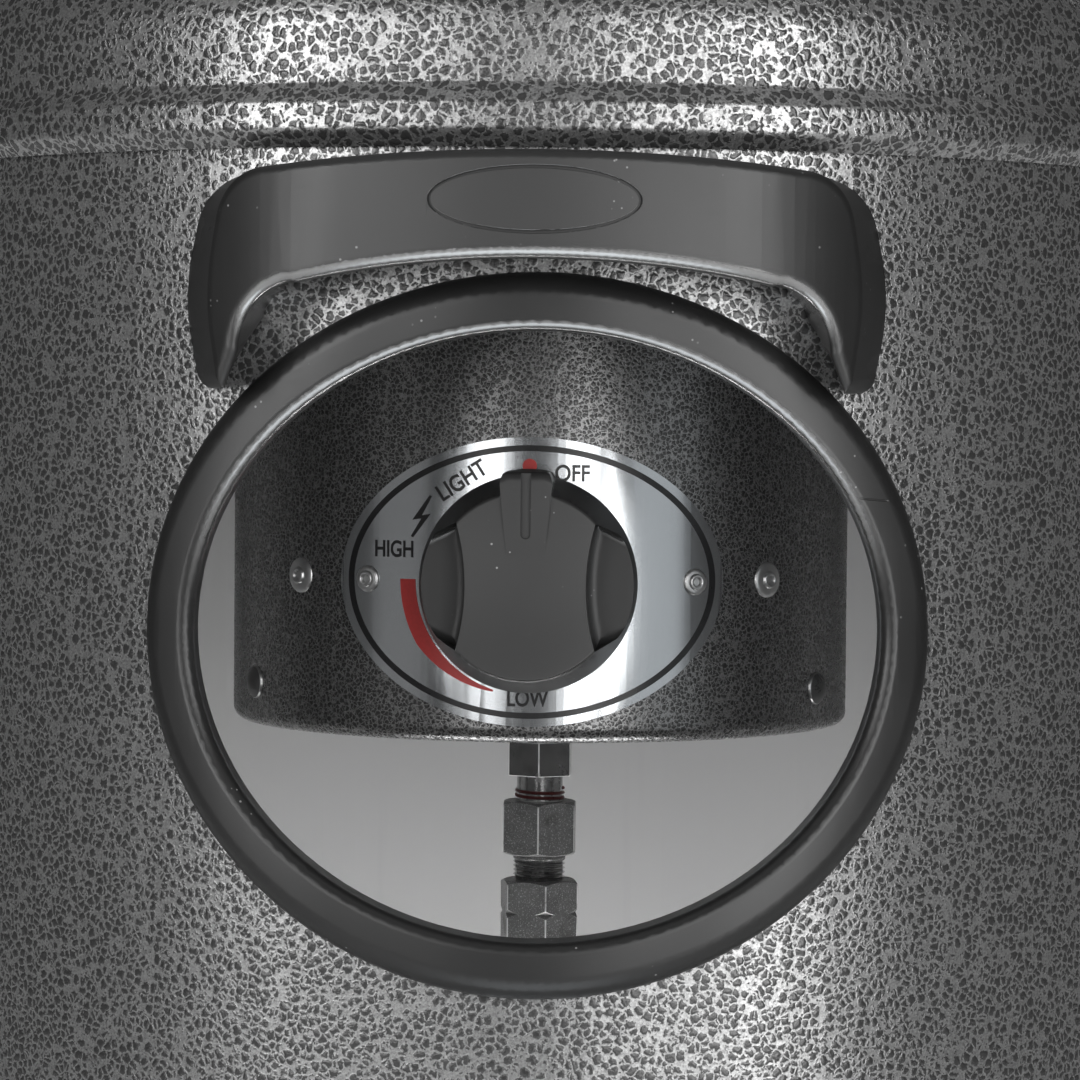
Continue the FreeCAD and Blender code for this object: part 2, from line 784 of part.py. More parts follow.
# Perforated screen round the flame and its cap
def make_screen():
    straight = screen_top - screen_collar
    path = [(screen_foot_r, burner_z + fit_gap), (screen_top_r, straight, screen_bend),
            (screen_top_r, screen_top)]
    shell = revolved(sheet(path, screen_sheet))
    pitch = (straight - burner_z) / (screen_rows + 1)
    drill = Part.makeCylinder(screen_hole_r, screen_top_r, vec(screen_foot_r / 2, 0, 0), right)
    holes = []
    for row in range(screen_rows):
        level = drill.copy()
        level.translate(vec(0, 0, burner_z + pitch * (row + 1)))
        holes += around(level, screen_columns, 180.0 / screen_columns * (row % 2))
    keep("flame_screen", shell.cut(Part.makeCompound(holes)))
    wall = screen_top_r + screen_sheet / 2 + seat_gap + cap_sheet / 2
    cap = [(0, cap_top - cap_sheet / 2), (cap_flat_r, cap_top - cap_sheet / 2, cap_bend * 2),
           (wall, screen_top + cap_edge, cap_bend), (wall, screen_top - cap_skirt)]
    keep("screen_cap", revolved(sheet(cap, cap_sheet)))


# Reflector on three studs, with spacers, washers and wing nuts
def make_reflector():
    mid = reflector_z + reflector_sheet / 2
    rim_z = mid - reflector_drop
    dish = revolved(sheet([(0, mid), (reflector_flat_r, mid, reflector_bend),
                           (reflector_r - reflector_edge_set, rim_z, reflector_edge / 2),
                           (reflector_r - reflector_sheet, rim_z - reflector_edge)], reflector_sheet))
    top = reflector_z + reflector_sheet
    hole = rod(stud_r + hole_gap, reflector_z, top, stud_circle, 0)
    keep("reflector", dish.cut(Part.makeCompound(around(hole, stud_count, stud_first))))
    seat = top + washer_sheet
    spacer = tube(spacer_r, stud_r + running_gap, cap_top, reflector_z, stud_circle, 0)
    stud = rod(stud_r, cap_top, seat + wing_height + stud_spare, stud_circle, 0)
    washer = tube(washer_r, stud_r + running_gap, top, seat, stud_circle, 0)
    core = revolved([(stud_r + shaft_gap, 0), (nut_r, 0), (nut_r * 0.8, wing_height * 0.6, 1.0),
                     (stud_r + shaft_gap, wing_height * 0.6)])
    wing_corners = [(nut_r * 0.7, 1.0), (nut_r, 1.0), (wing_span * 0.9, wing_height * 0.5, 3.0),
                    (wing_span, wing_height, 3.0), (wing_span * 0.6, wing_height, 3.0),
                    (nut_r * 0.7, wing_height * 0.5)]
    wing = Part.Face(outline(wing_corners, lambda p: vec(p.x, -wing_sheet / 2, p.y)))
    wing = wing.extrude(vec(0, wing_sheet, 0))
    nut = core.fuse(around(wing, 2)).removeSplitter()
    nut.translate(vec(stud_circle, 0, seat))
    keep("stud_spacers", Part.makeCompound(around(spacer, stud_count, stud_first)))
    keep("reflector_studs", Part.makeCompound(around(stud, stud_count, stud_first)))
    keep("reflector_washers", Part.makeCompound(around(washer, stud_count, stud_first)))
    keep("wing_nuts", Part.makeCompound(around(nut, stud_count, stud_first)))


# Tank housing with its opening and vents, and the beaded cover
def make_housing():
    foot = ledge_z + seat_gap
    wall = tube(housing_r, wall_in, foot, seam_z + cover_lap)
    hole_w, hole_h = opening_size()
    wall = wall.cut(front_oval(hole_w, hole_h, trim_z, 0, housing_r * 2))
    slot = box(wall_in - vent_width, housing_r + vent_width, -vent_width / 2, vent_width / 2,
               foot + vent_rise, foot + vent_rise + vent_height)
    keep_on_housing("tank_housing", wall.cut(Part.makeCompound(around(slot, vent_count, 180.0 / vent_count))))
    mid = cover_r + housing_sheet / 2
    neck = post_r + running_gap + neck_wall + housing_sheet / 2
    bead = mid + bead_proud
    path = [(neck, cover_top + cover_neck), (neck, cover_top, neck_bend),
            (mid, cover_shoulder, shoulder_bend),
            (mid, seam_z + bead_height, bead_bend), (bead, seam_z + bead_height * 0.7, bead_bend),
            (bead, seam_z + bead_height * 0.25, bead_bend), (mid + seat_gap, seam_z)]
    keep_on_housing("housing_cover", revolved(sheet(path, housing_sheet)))
    bore = post_r + running_gap
    neck_in = neck - housing_sheet / 2
    lip = cover_top + cover_neck
    lip_r = neck + bush_lip
    lip_top = lip + bush_lip_height
    bush_z = cover_top + bush_set
    bush = revolved([(bore, bush_z), (neck_in, bush_z), (neck_in, lip), (lip_r, lip),
                     (lip_r, lip_top, bush_lip / 3), (bore, lip_top, bush_lip / 3)])
    keep_on_housing("collar_bush", bush)
    screw = domed_head(cover_screw_r, screw_height, head_foot)
    screw_z = seam_z + (bead_height + cover_lap) / 2
    places = [(angle, screw_z) for angle in (60, 120, 240, 300)]
    keep_on_housing("cover_screws", heads_on_wall(screw, cover_r + housing_sheet, places))


# Half sizes of the hole in the sheet, whose edge the trim grips.
def opening_size():
    reach = trim_width / 2 - trim_grip
    return trim_half_w + reach, trim_half_h + reach


# Soft ring: a rounded band between two ovals on the housing's curve, slotted for the sheet's edge
def make_trim():
    half = trim_width / 2
    side = trim_side_width / 2
    sheet_mid = housing_r - housing_sheet / 2
    front_r = sheet_mid + trim_depth / 2
    rear_r = sheet_mid - trim_depth / 2
    mouth = front_oval(trim_half_w - side, trim_half_h - half, trim_z, 0, housing_r * 2)
    ring = front_oval(trim_half_w + side, trim_half_h + half, trim_z, 0, housing_r * 2).cut(mouth)
    low = trim_z - trim_half_h - trim_width
    high = trim_z + trim_half_h + trim_width
    ring = ring.common(tube(front_r, rear_r, low, high)).Solids[0]
    outer_edges = []
    lip_edges = []
    for edge in ring.Edges:
        wide = edge.BoundBox.XLength > trim_half_w * 2
        (outer_edges if wide else lip_edges).append(edge)
    ring = ring.makeFillet(trim_round, outer_edges)
    lip_edges = [e for e in ring.Edges if any(near_edge(e, lip) for lip in lip_edges)]
    ring = ring.makeFillet(trim_lip_round, lip_edges)
    hole_w, hole_h = opening_size()
    slot = tube(housing_r + skin_gap, wall_in - skin_gap, low, high)
    slot = slot.cut(front_oval(hole_w - fit_gap, hole_h - fit_gap, trim_z, 0, housing_r * 2))
    keep_on_housing("opening_trim", ring.cut(slot))


# Whether an edge runs along another one.
def near_edge(edge, other):
    first = edge.valueAt(edge.FirstParameter)
    middle = edge.valueAt((edge.FirstParameter + edge.LastParameter) / 2)
    return all(other.distToShape(Part.Vertex(point))[0] < skin_gap for point in (first, middle))


# Arched handle: a blank that widens towards the wall, cut by the finger arch with its rolled lip and
# hollowed behind its band
def make_handle():
    outer_r = housing_r + handle_proud
    face_r = outer_r - skin_gap
    seat_r = housing_r + skin_gap
    rear = housing_r - handle_proud
    top = handle_top
    crown = top + handle_crown
    low = top - handle_height
    rear_outline = handle_corners(handle_half_w)
    blank = handle_loft(rear_outline, rear, handle_corners(handle_half_w - handle_draw), outer_r)
    blank = blank.common(rod(face_r, low, crown)).cut(rod(seat_r, low, crown))
    face = max(blank.Faces, key=lambda f: f.Surface.Radius if f.Surface.TypeId == "Part::GeomCylinder" else 0)
    blank = blank.makeFillet(handle_round, face.OuterWire.Edges)
    front_arch = arch_corners(arch_half_w, arch_half_w, arch_shoulder_drop, arch_crown_drop, arch_round)
    rear_arch = arch_corners(arch_half_w + arch_foot_spread, arch_rear_w, arch_rear_shoulder_drop,
                             arch_rear_crown_drop, arch_rear_round)
    front_room = box(-housing_r, housing_r, -outer_r * 2, -housing_r / 2, low, crown)
    wall = tube(face_r, seat_r, low, crown).common(front_room)
    wall = wall.cut(handle_loft(rear_arch, rear, front_arch, outer_r))
    wall = wall.makeFillet(handle_lip, arch_edges(wall, face_r))
    pocket_top = top - handle_wall - handle_crown / 2
    pocket = [(-arch_rear_w, low), (arch_rear_w, low), (arch_rear_w, pocket_top, pocket_round),
              (-arch_rear_w, pocket_top, pocket_round)]
    pocket = front_prism(pocket, housing_r / 2, outer_r).common(rod(outer_r - handle_wall, low, top))
    handle = blank.common(wall).cut(pocket)
    oval_z = top - oval_drop
    line = front_oval(oval_half_w, oval_half_h, oval_z, 0, outer_r)
    line = line.cut(front_oval(oval_half_w - oval_line, oval_half_h - oval_line, oval_z, 0, outer_r))
    line = line.cut(rod(face_r - oval_depth, low, top))
    keep_on_housing("front_handle", handle.cut(line), handle_turn)
    screw = domed_head(screw_r, screw_height, 0)
    fixings = []
    for side in (-1, 1):
        angle = math.degrees(math.asin(arch_half_w / housing_r)) * side
        piece = on_wall(screw, 0, 0, 0)
        piece.rotate(origin, up, 180)
        piece.translate(vec(0, -wall_in + hole_gap, top - handle_height / 2))
        piece.rotate(origin, up, angle)
        fixings.append(piece.common(rod(wall_in, low, top)))
    keep_on_housing("handle_screws", Part.makeCompound(fixings), handle_turn)


# Straight loft between an outline at one depth towards the viewer and an outline at another.
def handle_loft(rear_corners, rear_depth, front_corners, front_depth):
    rear_wire = outline(rear_corners, lambda p: vec(p.x, -rear_depth, p.y))
    front_wire = outline(front_corners, lambda p: vec(p.x, -front_depth, p.y))
    return Part.makeLoft([rear_wire, front_wire], True, True)


# Edges of the finger arch on the handle's round front.
def arch_edges(shape, radius):
    found = []
    for edge in shape.Edges:
        span = edge.LastParameter - edge.FirstParameter
        points = [edge.valueAt(edge.FirstParameter + span * t) for t in (0.02, 0.5, 0.98)]
        middle = points[1]
        on_front = all(abs(math.hypot(p.x, p.y) - radius) < skin_gap / 2 for p in points)
        below_crown = handle_top - handle_height < middle.z < handle_top - arch_crown_drop / 2
        if on_front and below_crown and abs(middle.x) < arch_half_w * 1.05:
            found.append(edge)
    return found


# Corners of the handle's outline at one depth, counter-clockwise from its left shoulder.
def handle_corners(half_w):
    top = handle_top
    half = [(half_w - handle_tip_set, top - handle_height, handle_tip_round),
            (half_w, top - handle_belly_drop, half_w * 0.7),
            (half_w - handle_shoulder_set, top - handle_shoulder_drop, handle_shoulder_round)]
    mirrored = [(-c[0],) + c[1:] for c in half[::-1]]
    return mirrored + half + [(0, top + handle_crown, half_w * 6.5)]


# Corners of a finger arch open at its foot.
def arch_corners(foot_w, shoulder_w, shoulder_drop, crown_drop, rounding):
    top = handle_top
    half = [(foot_w, top - arch_foot_drop), (shoulder_w, top - shoulder_drop, rounding)]
    mirrored = [(-c[0],) + c[1:] for c in half]
    return mirrored + [(0, top - crown_drop, arch_crown_round)] + half[::-1]


# Knob: a tapered body with a scoop on each side that leaves a waisted grip, and a pointer
def make_knob():
    body = revolved([(0, knob_back), (knob_r, knob_back, knob_edge), (knob_r, knob_back + knob_skirt),
                     (knob_face_r, knob_face, knob_edge), (0, knob_face)])
    floor = knob_back + scoop_floor
    scoop = [vec(grip_half_w, -grip_shoulder, floor), vec(grip_half_w, grip_shoulder, floor),
             vec(knob_r * 1.1, scoop_mouth, floor), vec(knob_r * 1.1, -scoop_mouth, floor)]
    edges = [Part.Arc(scoop[0], vec(grip_waist, 0, floor), scoop[1]).toShape()]
    for start, end in ((1, 2), (2, 3), (3, 0)):
        edges.append(Part.LineSegment(scoop[start], scoop[end]).toShape())
    cutter = Part.Face(Part.Wire(edges)).extrude(vec(0, 0, knob_depth))
    foot_edges = [e for e in cutter.Edges if e.BoundBox.ZMax < floor + skin_gap and e.BoundBox.XMin < knob_r]
    cutter = cutter.makeFillet(scoop_round, foot_edges)
    body = body.cut([cutter, cutter.mirror(origin, right)])
    plan = [(-pointer_root_w, pointer_root), (pointer_root_w, pointer_root),
            (pointer_half_w, pointer_reach, pointer_round), (-pointer_half_w, pointer_reach, pointer_round)]
    pointer = prism(plan, floor, knob_face + pointer_proud)
    crest = knob_face + pointer_proud
    wedge = [(pointer_root, floor), (pointer_reach, floor), (pointer_reach, crest, pointer_round),
             (pointer_root, knob_face - skin_gap)]
    side = Part.Face(outline(wedge, lambda p: vec(-knob_r, p.x, p.y))).extrude(vec(knob_r * 2, 0, 0))
    knob = body.fuse(pointer.common(side)).removeSplitter()
    half = groove_width / 2
    groove = prism([(-half, groove_root, half * 0.98), (half, groove_root, half * 0.98),
                    (half, knob_r), (-half, knob_r)], 0, knob_depth)
    tilt = math.degrees(math.atan2(pointer_proud, pointer_reach - pointer_root))
    groove.translate(vec(0, -pointer_root, 0))
    groove.rotate(origin, right, tilt)
    groove.translate(vec(0, pointer_root, knob_face - groove_depth))
    knob = knob.cut(groove).cut(rod(spindle_r + skin_gap / 2, 0, knob_back + spindle_seat))
    keep("control_knob", on_wall(knob, 0, 0, knob_z))


make_base()
make_uprights()
make_post()
make_control_box()
make_dial_plate()
make_valve()
make_fittings()
make_burner()
make_ignition()
make_screen()
make_reflector()
make_housing()
make_trim()
make_handle()
make_knob()

os.makedirs("parts", exist_ok=True)
for name, shape in nodes.items():
    shape.exportStep("parts/" + name + ".step")
    state = "valid" if shape.isValid() else "invalid"
    print(name, len(shape.Solids), "solids", round(shape.Volume), "mm3", state)
print(len(nodes), "nodes")
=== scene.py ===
import bmesh
import bpy
import json
import math
from mathutils import Matrix, Vector


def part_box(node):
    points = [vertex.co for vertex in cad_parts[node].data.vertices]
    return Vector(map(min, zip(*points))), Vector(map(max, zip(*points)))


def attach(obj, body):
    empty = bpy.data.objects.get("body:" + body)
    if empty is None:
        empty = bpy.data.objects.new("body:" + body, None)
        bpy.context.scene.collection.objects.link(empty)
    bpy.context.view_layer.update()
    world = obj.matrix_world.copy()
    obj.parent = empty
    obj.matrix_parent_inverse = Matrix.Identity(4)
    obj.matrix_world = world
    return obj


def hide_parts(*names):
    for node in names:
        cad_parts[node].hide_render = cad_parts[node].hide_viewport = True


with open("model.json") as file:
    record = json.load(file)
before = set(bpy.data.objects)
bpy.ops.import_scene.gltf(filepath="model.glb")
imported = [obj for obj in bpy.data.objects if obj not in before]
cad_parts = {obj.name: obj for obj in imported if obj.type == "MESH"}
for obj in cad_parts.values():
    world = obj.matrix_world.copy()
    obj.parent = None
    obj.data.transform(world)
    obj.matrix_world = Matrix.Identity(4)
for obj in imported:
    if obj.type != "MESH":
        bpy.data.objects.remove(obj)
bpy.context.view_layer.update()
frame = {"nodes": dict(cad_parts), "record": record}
scene = bpy.context.scene
mm = 0.001
plain = (1.0, 1.0, 1.0)
upright = Matrix.Rotation(math.radians(90), 4, "X")


# Shader maths: a socket that can be added, multiplied and compared.
class Wire:
    def __init__(self, paint, socket):
        self.paint = paint
        self.socket = socket

    def sums(self, operation, *others):
        return self.paint.add("ShaderNodeMath", {"operation": operation}, dict(enumerate((self,) + others)))

    def __add__(self, other):
        return self.sums("ADD", other)

    def __sub__(self, other):
        return self.sums("SUBTRACT", other)

    def __rsub__(self, other):
        return self.paint.add("ShaderNodeMath", {"operation": "SUBTRACT"}, {0: other, 1: self})

    def __mul__(self, other):
        return self.sums("MULTIPLY", other)

    def __truediv__(self, other):
        return self.sums("DIVIDE", other)

    def __pow__(self, other):
        return self.sums("POWER", other)

    def size(self):
        return self.sums("ABSOLUTE")

    def greater(self, other):
        return self.sums("MAXIMUM", other)

    def lesser(self, other):
        return self.sums("MINIMUM", other)

    def step(self, low, high):  # smooth rise from 0 at low to 1 at high
        settings = {"interpolation_type": "SMOOTHSTEP"}
        return self.paint.add("ShaderNodeMapRange", settings, {0: self, 1: low, 2: high, 3: 0.0, 4: 1.0})

    __radd__ = __add__
    __rmul__ = __mul__


# One material's nodes. add() makes any node from its type, its settings and its sockets.
class Paint:
    def __init__(self, name):
        self.material = bpy.data.materials.new(name)
        self.material.use_nodes = True
        self.tree = self.material.node_tree
        self.tree.nodes.clear()
        self.place = self.add("ShaderNodeTexCoord", out="Object")

    def add(self, kind, settings=None, sockets=None, out=0):
        node = self.tree.nodes.new(kind)
        for key, value in (settings or {}).items():
            setattr(node, key, value)
        for key, value in (sockets or {}).items():
            if isinstance(value, Wire):
                self.tree.links.new(value.socket, node.inputs[key])
            else:
                node.inputs[key].default_value = value
        return Wire(self, node.outputs[out]) if node.outputs else node

    def axes(self, vector=None):
        split = self.add("ShaderNodeSeparateXYZ", None, {0: vector or self.place})
        return [Wire(self, output) for output in split.socket.node.outputs]

    def noise(self, scale, detail=2.0, roughness=0.5, vector=None, out="Fac"):
        sockets = {"Vector": vector or self.place, "Scale": scale, "Detail": detail, "Roughness": roughness}
        return self.add("ShaderNodeTexNoise", None, sockets, out)

    def streaks(self, scales, detail, roughness):  # noise with its own scale along each axis
        stretched = self.add("ShaderNodeMapping", None, {"Vector": self.place, "Scale": scales})
        return self.noise(1.0, detail, roughness, stretched)

    def cells(self, scale, vector=None, feature="F1"):
        sockets = {"Vector": vector or self.place, "Scale": scale}
        return self.add("ShaderNodeTexVoronoi", {"feature": feature}, sockets, "Distance")

    def vectors(self, operation, sockets):
        return self.add("ShaderNodeVectorMath", {"operation": operation}, sockets)

    def swirled(self, scale, reach):  # object coordinates pushed about by noise
        drift = self.noise(scale, detail=1.0, out="Color")
        centred = self.vectors("SUBTRACT", {0: drift, 1: (0.5, 0.5, 0.5)})
        shift = self.vectors("SCALE", {0: centred, "Scale": reach})
        return self.vectors("ADD", {0: self.place, 1: shift})

    def mix(self, factor, first, second):
        return self.add("ShaderNodeMix", {"data_type": "RGBA"}, {0: factor, 6: first, 7: second}, 2)

    def shades(self, factor, tone, spread, tint=plain):  # a tone between its lowest and highest share
        low, high = spread
        return self.mix(factor, grey(tone * low, tint), grey(tone * high, tint))

    def bump(self, height, distance, normal=None):
        sockets = {"Height": height, "Distance": distance, "Strength": 1.0}
        if normal:
            sockets["Normal"] = normal
        return self.add("ShaderNodeBump", None, sockets)

    def surface(self, **values):
        sockets = {name.replace("_", " "): value for name, value in values.items()}
        shader = self.add("ShaderNodeBsdfPrincipled", None, sockets)
        self.add("ShaderNodeOutputMaterial", None, {"Surface": shader})
        return self.material


def grey(level, tint=plain):
    return tuple(min(level * t, 1.0) for t in tint) + (1.0,)


# Hammered enamel: dark glossy pebbles, raised and ragged, in a net of silver veins, each pebble with a
# darker ring of painted shade round its edge
hammerLook = {"pebble": 2.4 * mm, "gap": 0.065, "reach": 0.64, "ragged": 0.35, "body": 0.034, "rim": 0.022,
              "vein": 0.37, "veinMetal": 0.78, "bodyRough": 0.22, "veinRough": 0.31, "height": 0.12 * mm,
              "gloss": 0.85, "bodySpread": (0.8, 1.2), "veinSpread": (0.55, 1.35), "fill": 0.30}


def hammerPaint(name, look):
    p = Paint(name)
    scale = 1 / look["pebble"]
    warped = p.swirled(scale * 1.2, look["pebble"] * 0.7)
    ragged = (p.noise(scale * 3.4, detail=2.0, roughness=0.7) - 0.5) * look["ragged"]
    edge = p.cells(scale, warped, "DISTANCE_TO_EDGE") - look["gap"]
    large = edge.lesser(look["reach"] - p.cells(scale, warped)) + ragged
    small = look["fill"] - p.cells(scale * 1.8, warped) + ragged
    inside = large.greater(small * 0.7)
    pebble = inside.step(-0.03, 0.09)
    # a darker ring round each pebble's edge: painted shade where the raised pebble meets the veins
    rim = pebble * (1 - inside.step(0.03, 0.20))
    dome = inside.step(-0.08, 0.36)
    cloud = p.noise(11.0, detail=3.0)
    flake = p.noise(scale * 4.0, detail=2.0, roughness=0.7).step(0.25, 0.75)
    silver = p.shades(flake, look["vein"], look["veinSpread"])
    body = p.shades(cloud, look["body"], look["bodySpread"])
    # the pebble's edge ring takes the darker rim tone, as painted shade
    body = p.mix(rim, body, grey(look["rim"]))
    colour = p.mix(pebble, silver, body)
    metal = look["veinMetal"] * (1 - pebble)
    rough = look["veinRough"] + pebble * (look["bodyRough"] - look["veinRough"])
    return p.surface(Base_Color=colour, Metallic=metal, Roughness=rough, Specular_IOR_Level=look["gloss"],
                     Normal=p.bump(dome, look["height"]))


# Moulded plastic or rubber: fine grain, rubbed places, dust specks, and a strong clear coat on down-facing
# lips that paints a highlight line there
def mouldedPaint(name, look):
    p = Paint(name)
    fine = p.noise(1 / look["grain"], detail=3.0, roughness=0.6)
    broad = p.noise(30.0, detail=3.0, roughness=0.55)
    dots = (look["speck"] - p.cells(340.0)).step(0.0, 0.05) * p.noise(60.0, detail=1.0).step(0.60, 0.66)
    scuff = p.streaks(look["scuffs"], detail=2.0, roughness=0.6).step(0.66, 0.80)
    worn = p.shades(broad, look["tone"], look["spread"])
    worn = p.mix(scuff * look["wear"], worn, grey(look["tone"] * look["scuffTone"]))
    colour = p.mix(dots * look["dust"], worn, grey(look["dustTone"]))
    rough = look["rough"] + (broad - 0.5) * 0.10 + (fine - 0.5) * 0.06 + scuff * 0.08
    relief = p.bump(fine, look["relief"])
    values = {}
    if "lip" in look:
        # a strong coat only on faces that look down, faded by height: a painted highlight line along the
        # lips
        facing = p.axes(p.add("ShaderNodeTexCoord", out="Normal"))
        down = 0.0 - facing[2]
        lipHighlightCoat = down.step(0.05, 0.46) * (1 - down.step(0.76, 0.94)) * p.axes()[2].step(*look["lipFade"])
        values = {"Coat Weight": lipHighlightCoat * look["lip"], "Coat IOR": 4.0, "Coat Roughness": 0.24}
    if "oval" in look:  # the groove round the bare oval is painted darker: painted shade in the recess
        oval = look["oval"]
        x, z = p.axes()[::2]
        across = (x - oval["x"]) / oval["halfWide"]
        along = (z - oval["z"]) / oval["halfHigh"]
        far = (across * across + along * along) ** 0.5
        steep = ((across / oval["halfWide"]) ** 2 + (along / oval["halfHigh"]) ** 2) ** 0.5
        grooveShade = 1 - ((far - 1) * far / steep).size().step(0.15 * mm, 0.62 * mm)
        colour = p.mix(grooveShade, colour, grey(look["lineTone"]))
    if "seam" in look:  # butt joint of the ring: one fine line on its inner half
        seam = look["seam"]
        x, z = p.axes()[::2]
        rise = (z - seam["z"] + (x - seam["x"]) * seam["slope"]).size()
        line = (1 - rise.step(0.10 * mm, 0.32 * mm)) * (x - seam["x"]).step(0.0, seam["fade"])
        line = line * (1 - (x - seam["end"]).step(-seam["fade"], 0.0))
        colour = p.mix(line * 0.8, colour, grey(look["lineTone"]))
        relief = p.bump(1 - line, seam["deep"], relief)
    return p.surface(Base_Color=colour, Roughness=rough, Specular_IOR_Level=look["gloss"],
                     Normal=relief, **values)


# Metal brushed along one direction
def brushedPaint(name, look):
    p = Paint(name)
    lines = p.streaks(look["along"], detail=4.0, roughness=0.65)
    broad = p.noise(25.0, detail=2.0)
    colour = p.shades(lines, look["tone"], look["spread"], look["tint"])
    rough = look["rough"] + (lines - 0.5) * 0.14 + (broad - 0.5) * 0.06
    normal = p.bump(lines, look["relief"])
    if "lean" in look:  # leans the shading normal outwards past start, so the white reflection ends earlier
        x = p.axes()[0]
        start, end, tilt = look["lean"]
        past = (x - start).greater(0.0) ** 2 - (x - end).greater(0.0) ** 2
        normal = p.bump(0 - past * (tilt / 2 / (end - start)), 1.0, normal)
    return p.surface(Base_Color=colour, Metallic=1.0, Roughness=rough, Normal=normal)


# Dull plated steel: mottled and pitted, with patches of grime
def platedPaint(name, look):
    p = Paint(name)
    mottle = p.noise(240.0, detail=4.0, roughness=0.65)
    pits = p.noise(2300.0, detail=2.0, roughness=0.7)
    grime = p.noise(90.0, detail=3.0, roughness=0.6).step(0.50, 0.72)
    colour = p.shades(mottle, look["tone"], look["spread"], look["tint"])
    colour = p.mix(pits.step(0.54, 0.72) * look["glitter"], colour, grey(look["glitterTone"]))
    colour = p.mix(grime * look["grime"], colour, grey(look["grimeTone"], look["grimeTint"]))
    if "corner" in look:  # corners of a hexagon about the upright axis painted near white: painted highlight lines, and rubbed metal
        x, y = p.axes()[:2]
        cornerHighlight = ((x * x + y * y) ** 0.5).step(look["corner"] - 0.2 * mm, look["corner"] - 0.08 * mm)
        colour = p.mix(cornerHighlight * mottle.step(0.25, 0.5), colour, grey(1.0))
    rough = look["rough"] + (mottle - 0.5) * 0.22 + grime * 0.12
    return p.surface(Base_Color=colour, Metallic=look["metal"], Roughness=rough,
                     Normal=p.bump(pits, look["relief"]))


# Smooth sheet paint
def sheetPaint(name, look):
    p = Paint(name)
    cloud = p.noise(6.0, detail=3.0)
    peel = p.noise(650.0, detail=2.0)
    streak = p.streaks(look["runs"], detail=2.0, roughness=0.6).step(0.6, 0.85)
    colour = p.shades(cloud, look["tone"], look["spread"])
    colour = p.mix(streak * 0.12, colour, grey(look["tone"] * look["runTone"]))
    rough = look["rough"] + (peel - 0.5) * 0.08
    return p.surface(Base_Color=colour, Roughness=rough, Normal=p.bump(peel, look["relief"]))


# Printing ink, faintly uneven
inkLook = {"spread": (0.8, 1.12), "rough": 0.15, "relief": 0.004 * mm}


def inkPaint(name, colour, rough):
    p = Paint(name)
    patch = p.noise(900.0, detail=3.0, roughness=0.6)
    uneven = rough + (patch - 0.5) * inkLook["rough"]
    return p.surface(Base_Color=p.shades(patch, 1.0, inkLook["spread"], colour), Roughness=uneven,
                     Normal=p.bump(patch, inkLook["relief"]))


# lineTone darkens the oval groove, as painted shade, and the ring's seam line
mouldLook = {"tone": 0.026, "rough": 0.42, "gloss": 0.5, "grain": 0.45 * mm, "relief": 0.012 * mm,
             "spread": (0.84, 1.18), "wear": 0.10, "scuffs": (90.0, 90.0, 700.0), "scuffTone": 3.0,
             "dust": 0.5, "speck": 0.13, "dustTone": 0.45, "lineTone": 0.004}
seamLook = {"z": 739 * mm, "x": 88 * mm, "end": 98 * mm, "fade": 1 * mm, "slope": 0.08, "deep": 0.15 * mm}
ovalLook = {"x": 5.4 * mm, "z": 814.6 * mm, "halfWide": 26.75 * mm, "halfHigh": 8.25 * mm}
plateLook = {"tone": 0.62, "rough": 0.20, "along": (110.0, 5000.0, 5000.0), "tint": (0.97, 1.0, 1.03),
             "spread": (0.82, 1.12), "relief": 0.006 * mm}
steelLook = {"tone": 0.34, "rough": 0.42, "metal": 1.0, "relief": 0.012 * mm, "tint": plain,
             "spread": (0.62, 1.15), "glitter": 0.25, "glitterTone": 0.85, "grime": 0.5, "grimeTone": 0.05,
             "grimeTint": (1.1, 1.0, 0.9)}
innerLook = {"tone": 0.36, "rough": 0.55, "spread": (0.93, 1.06), "runs": (160.0, 160.0, 6.0),
             "runTone": 0.7, "relief": 0.01 * mm}
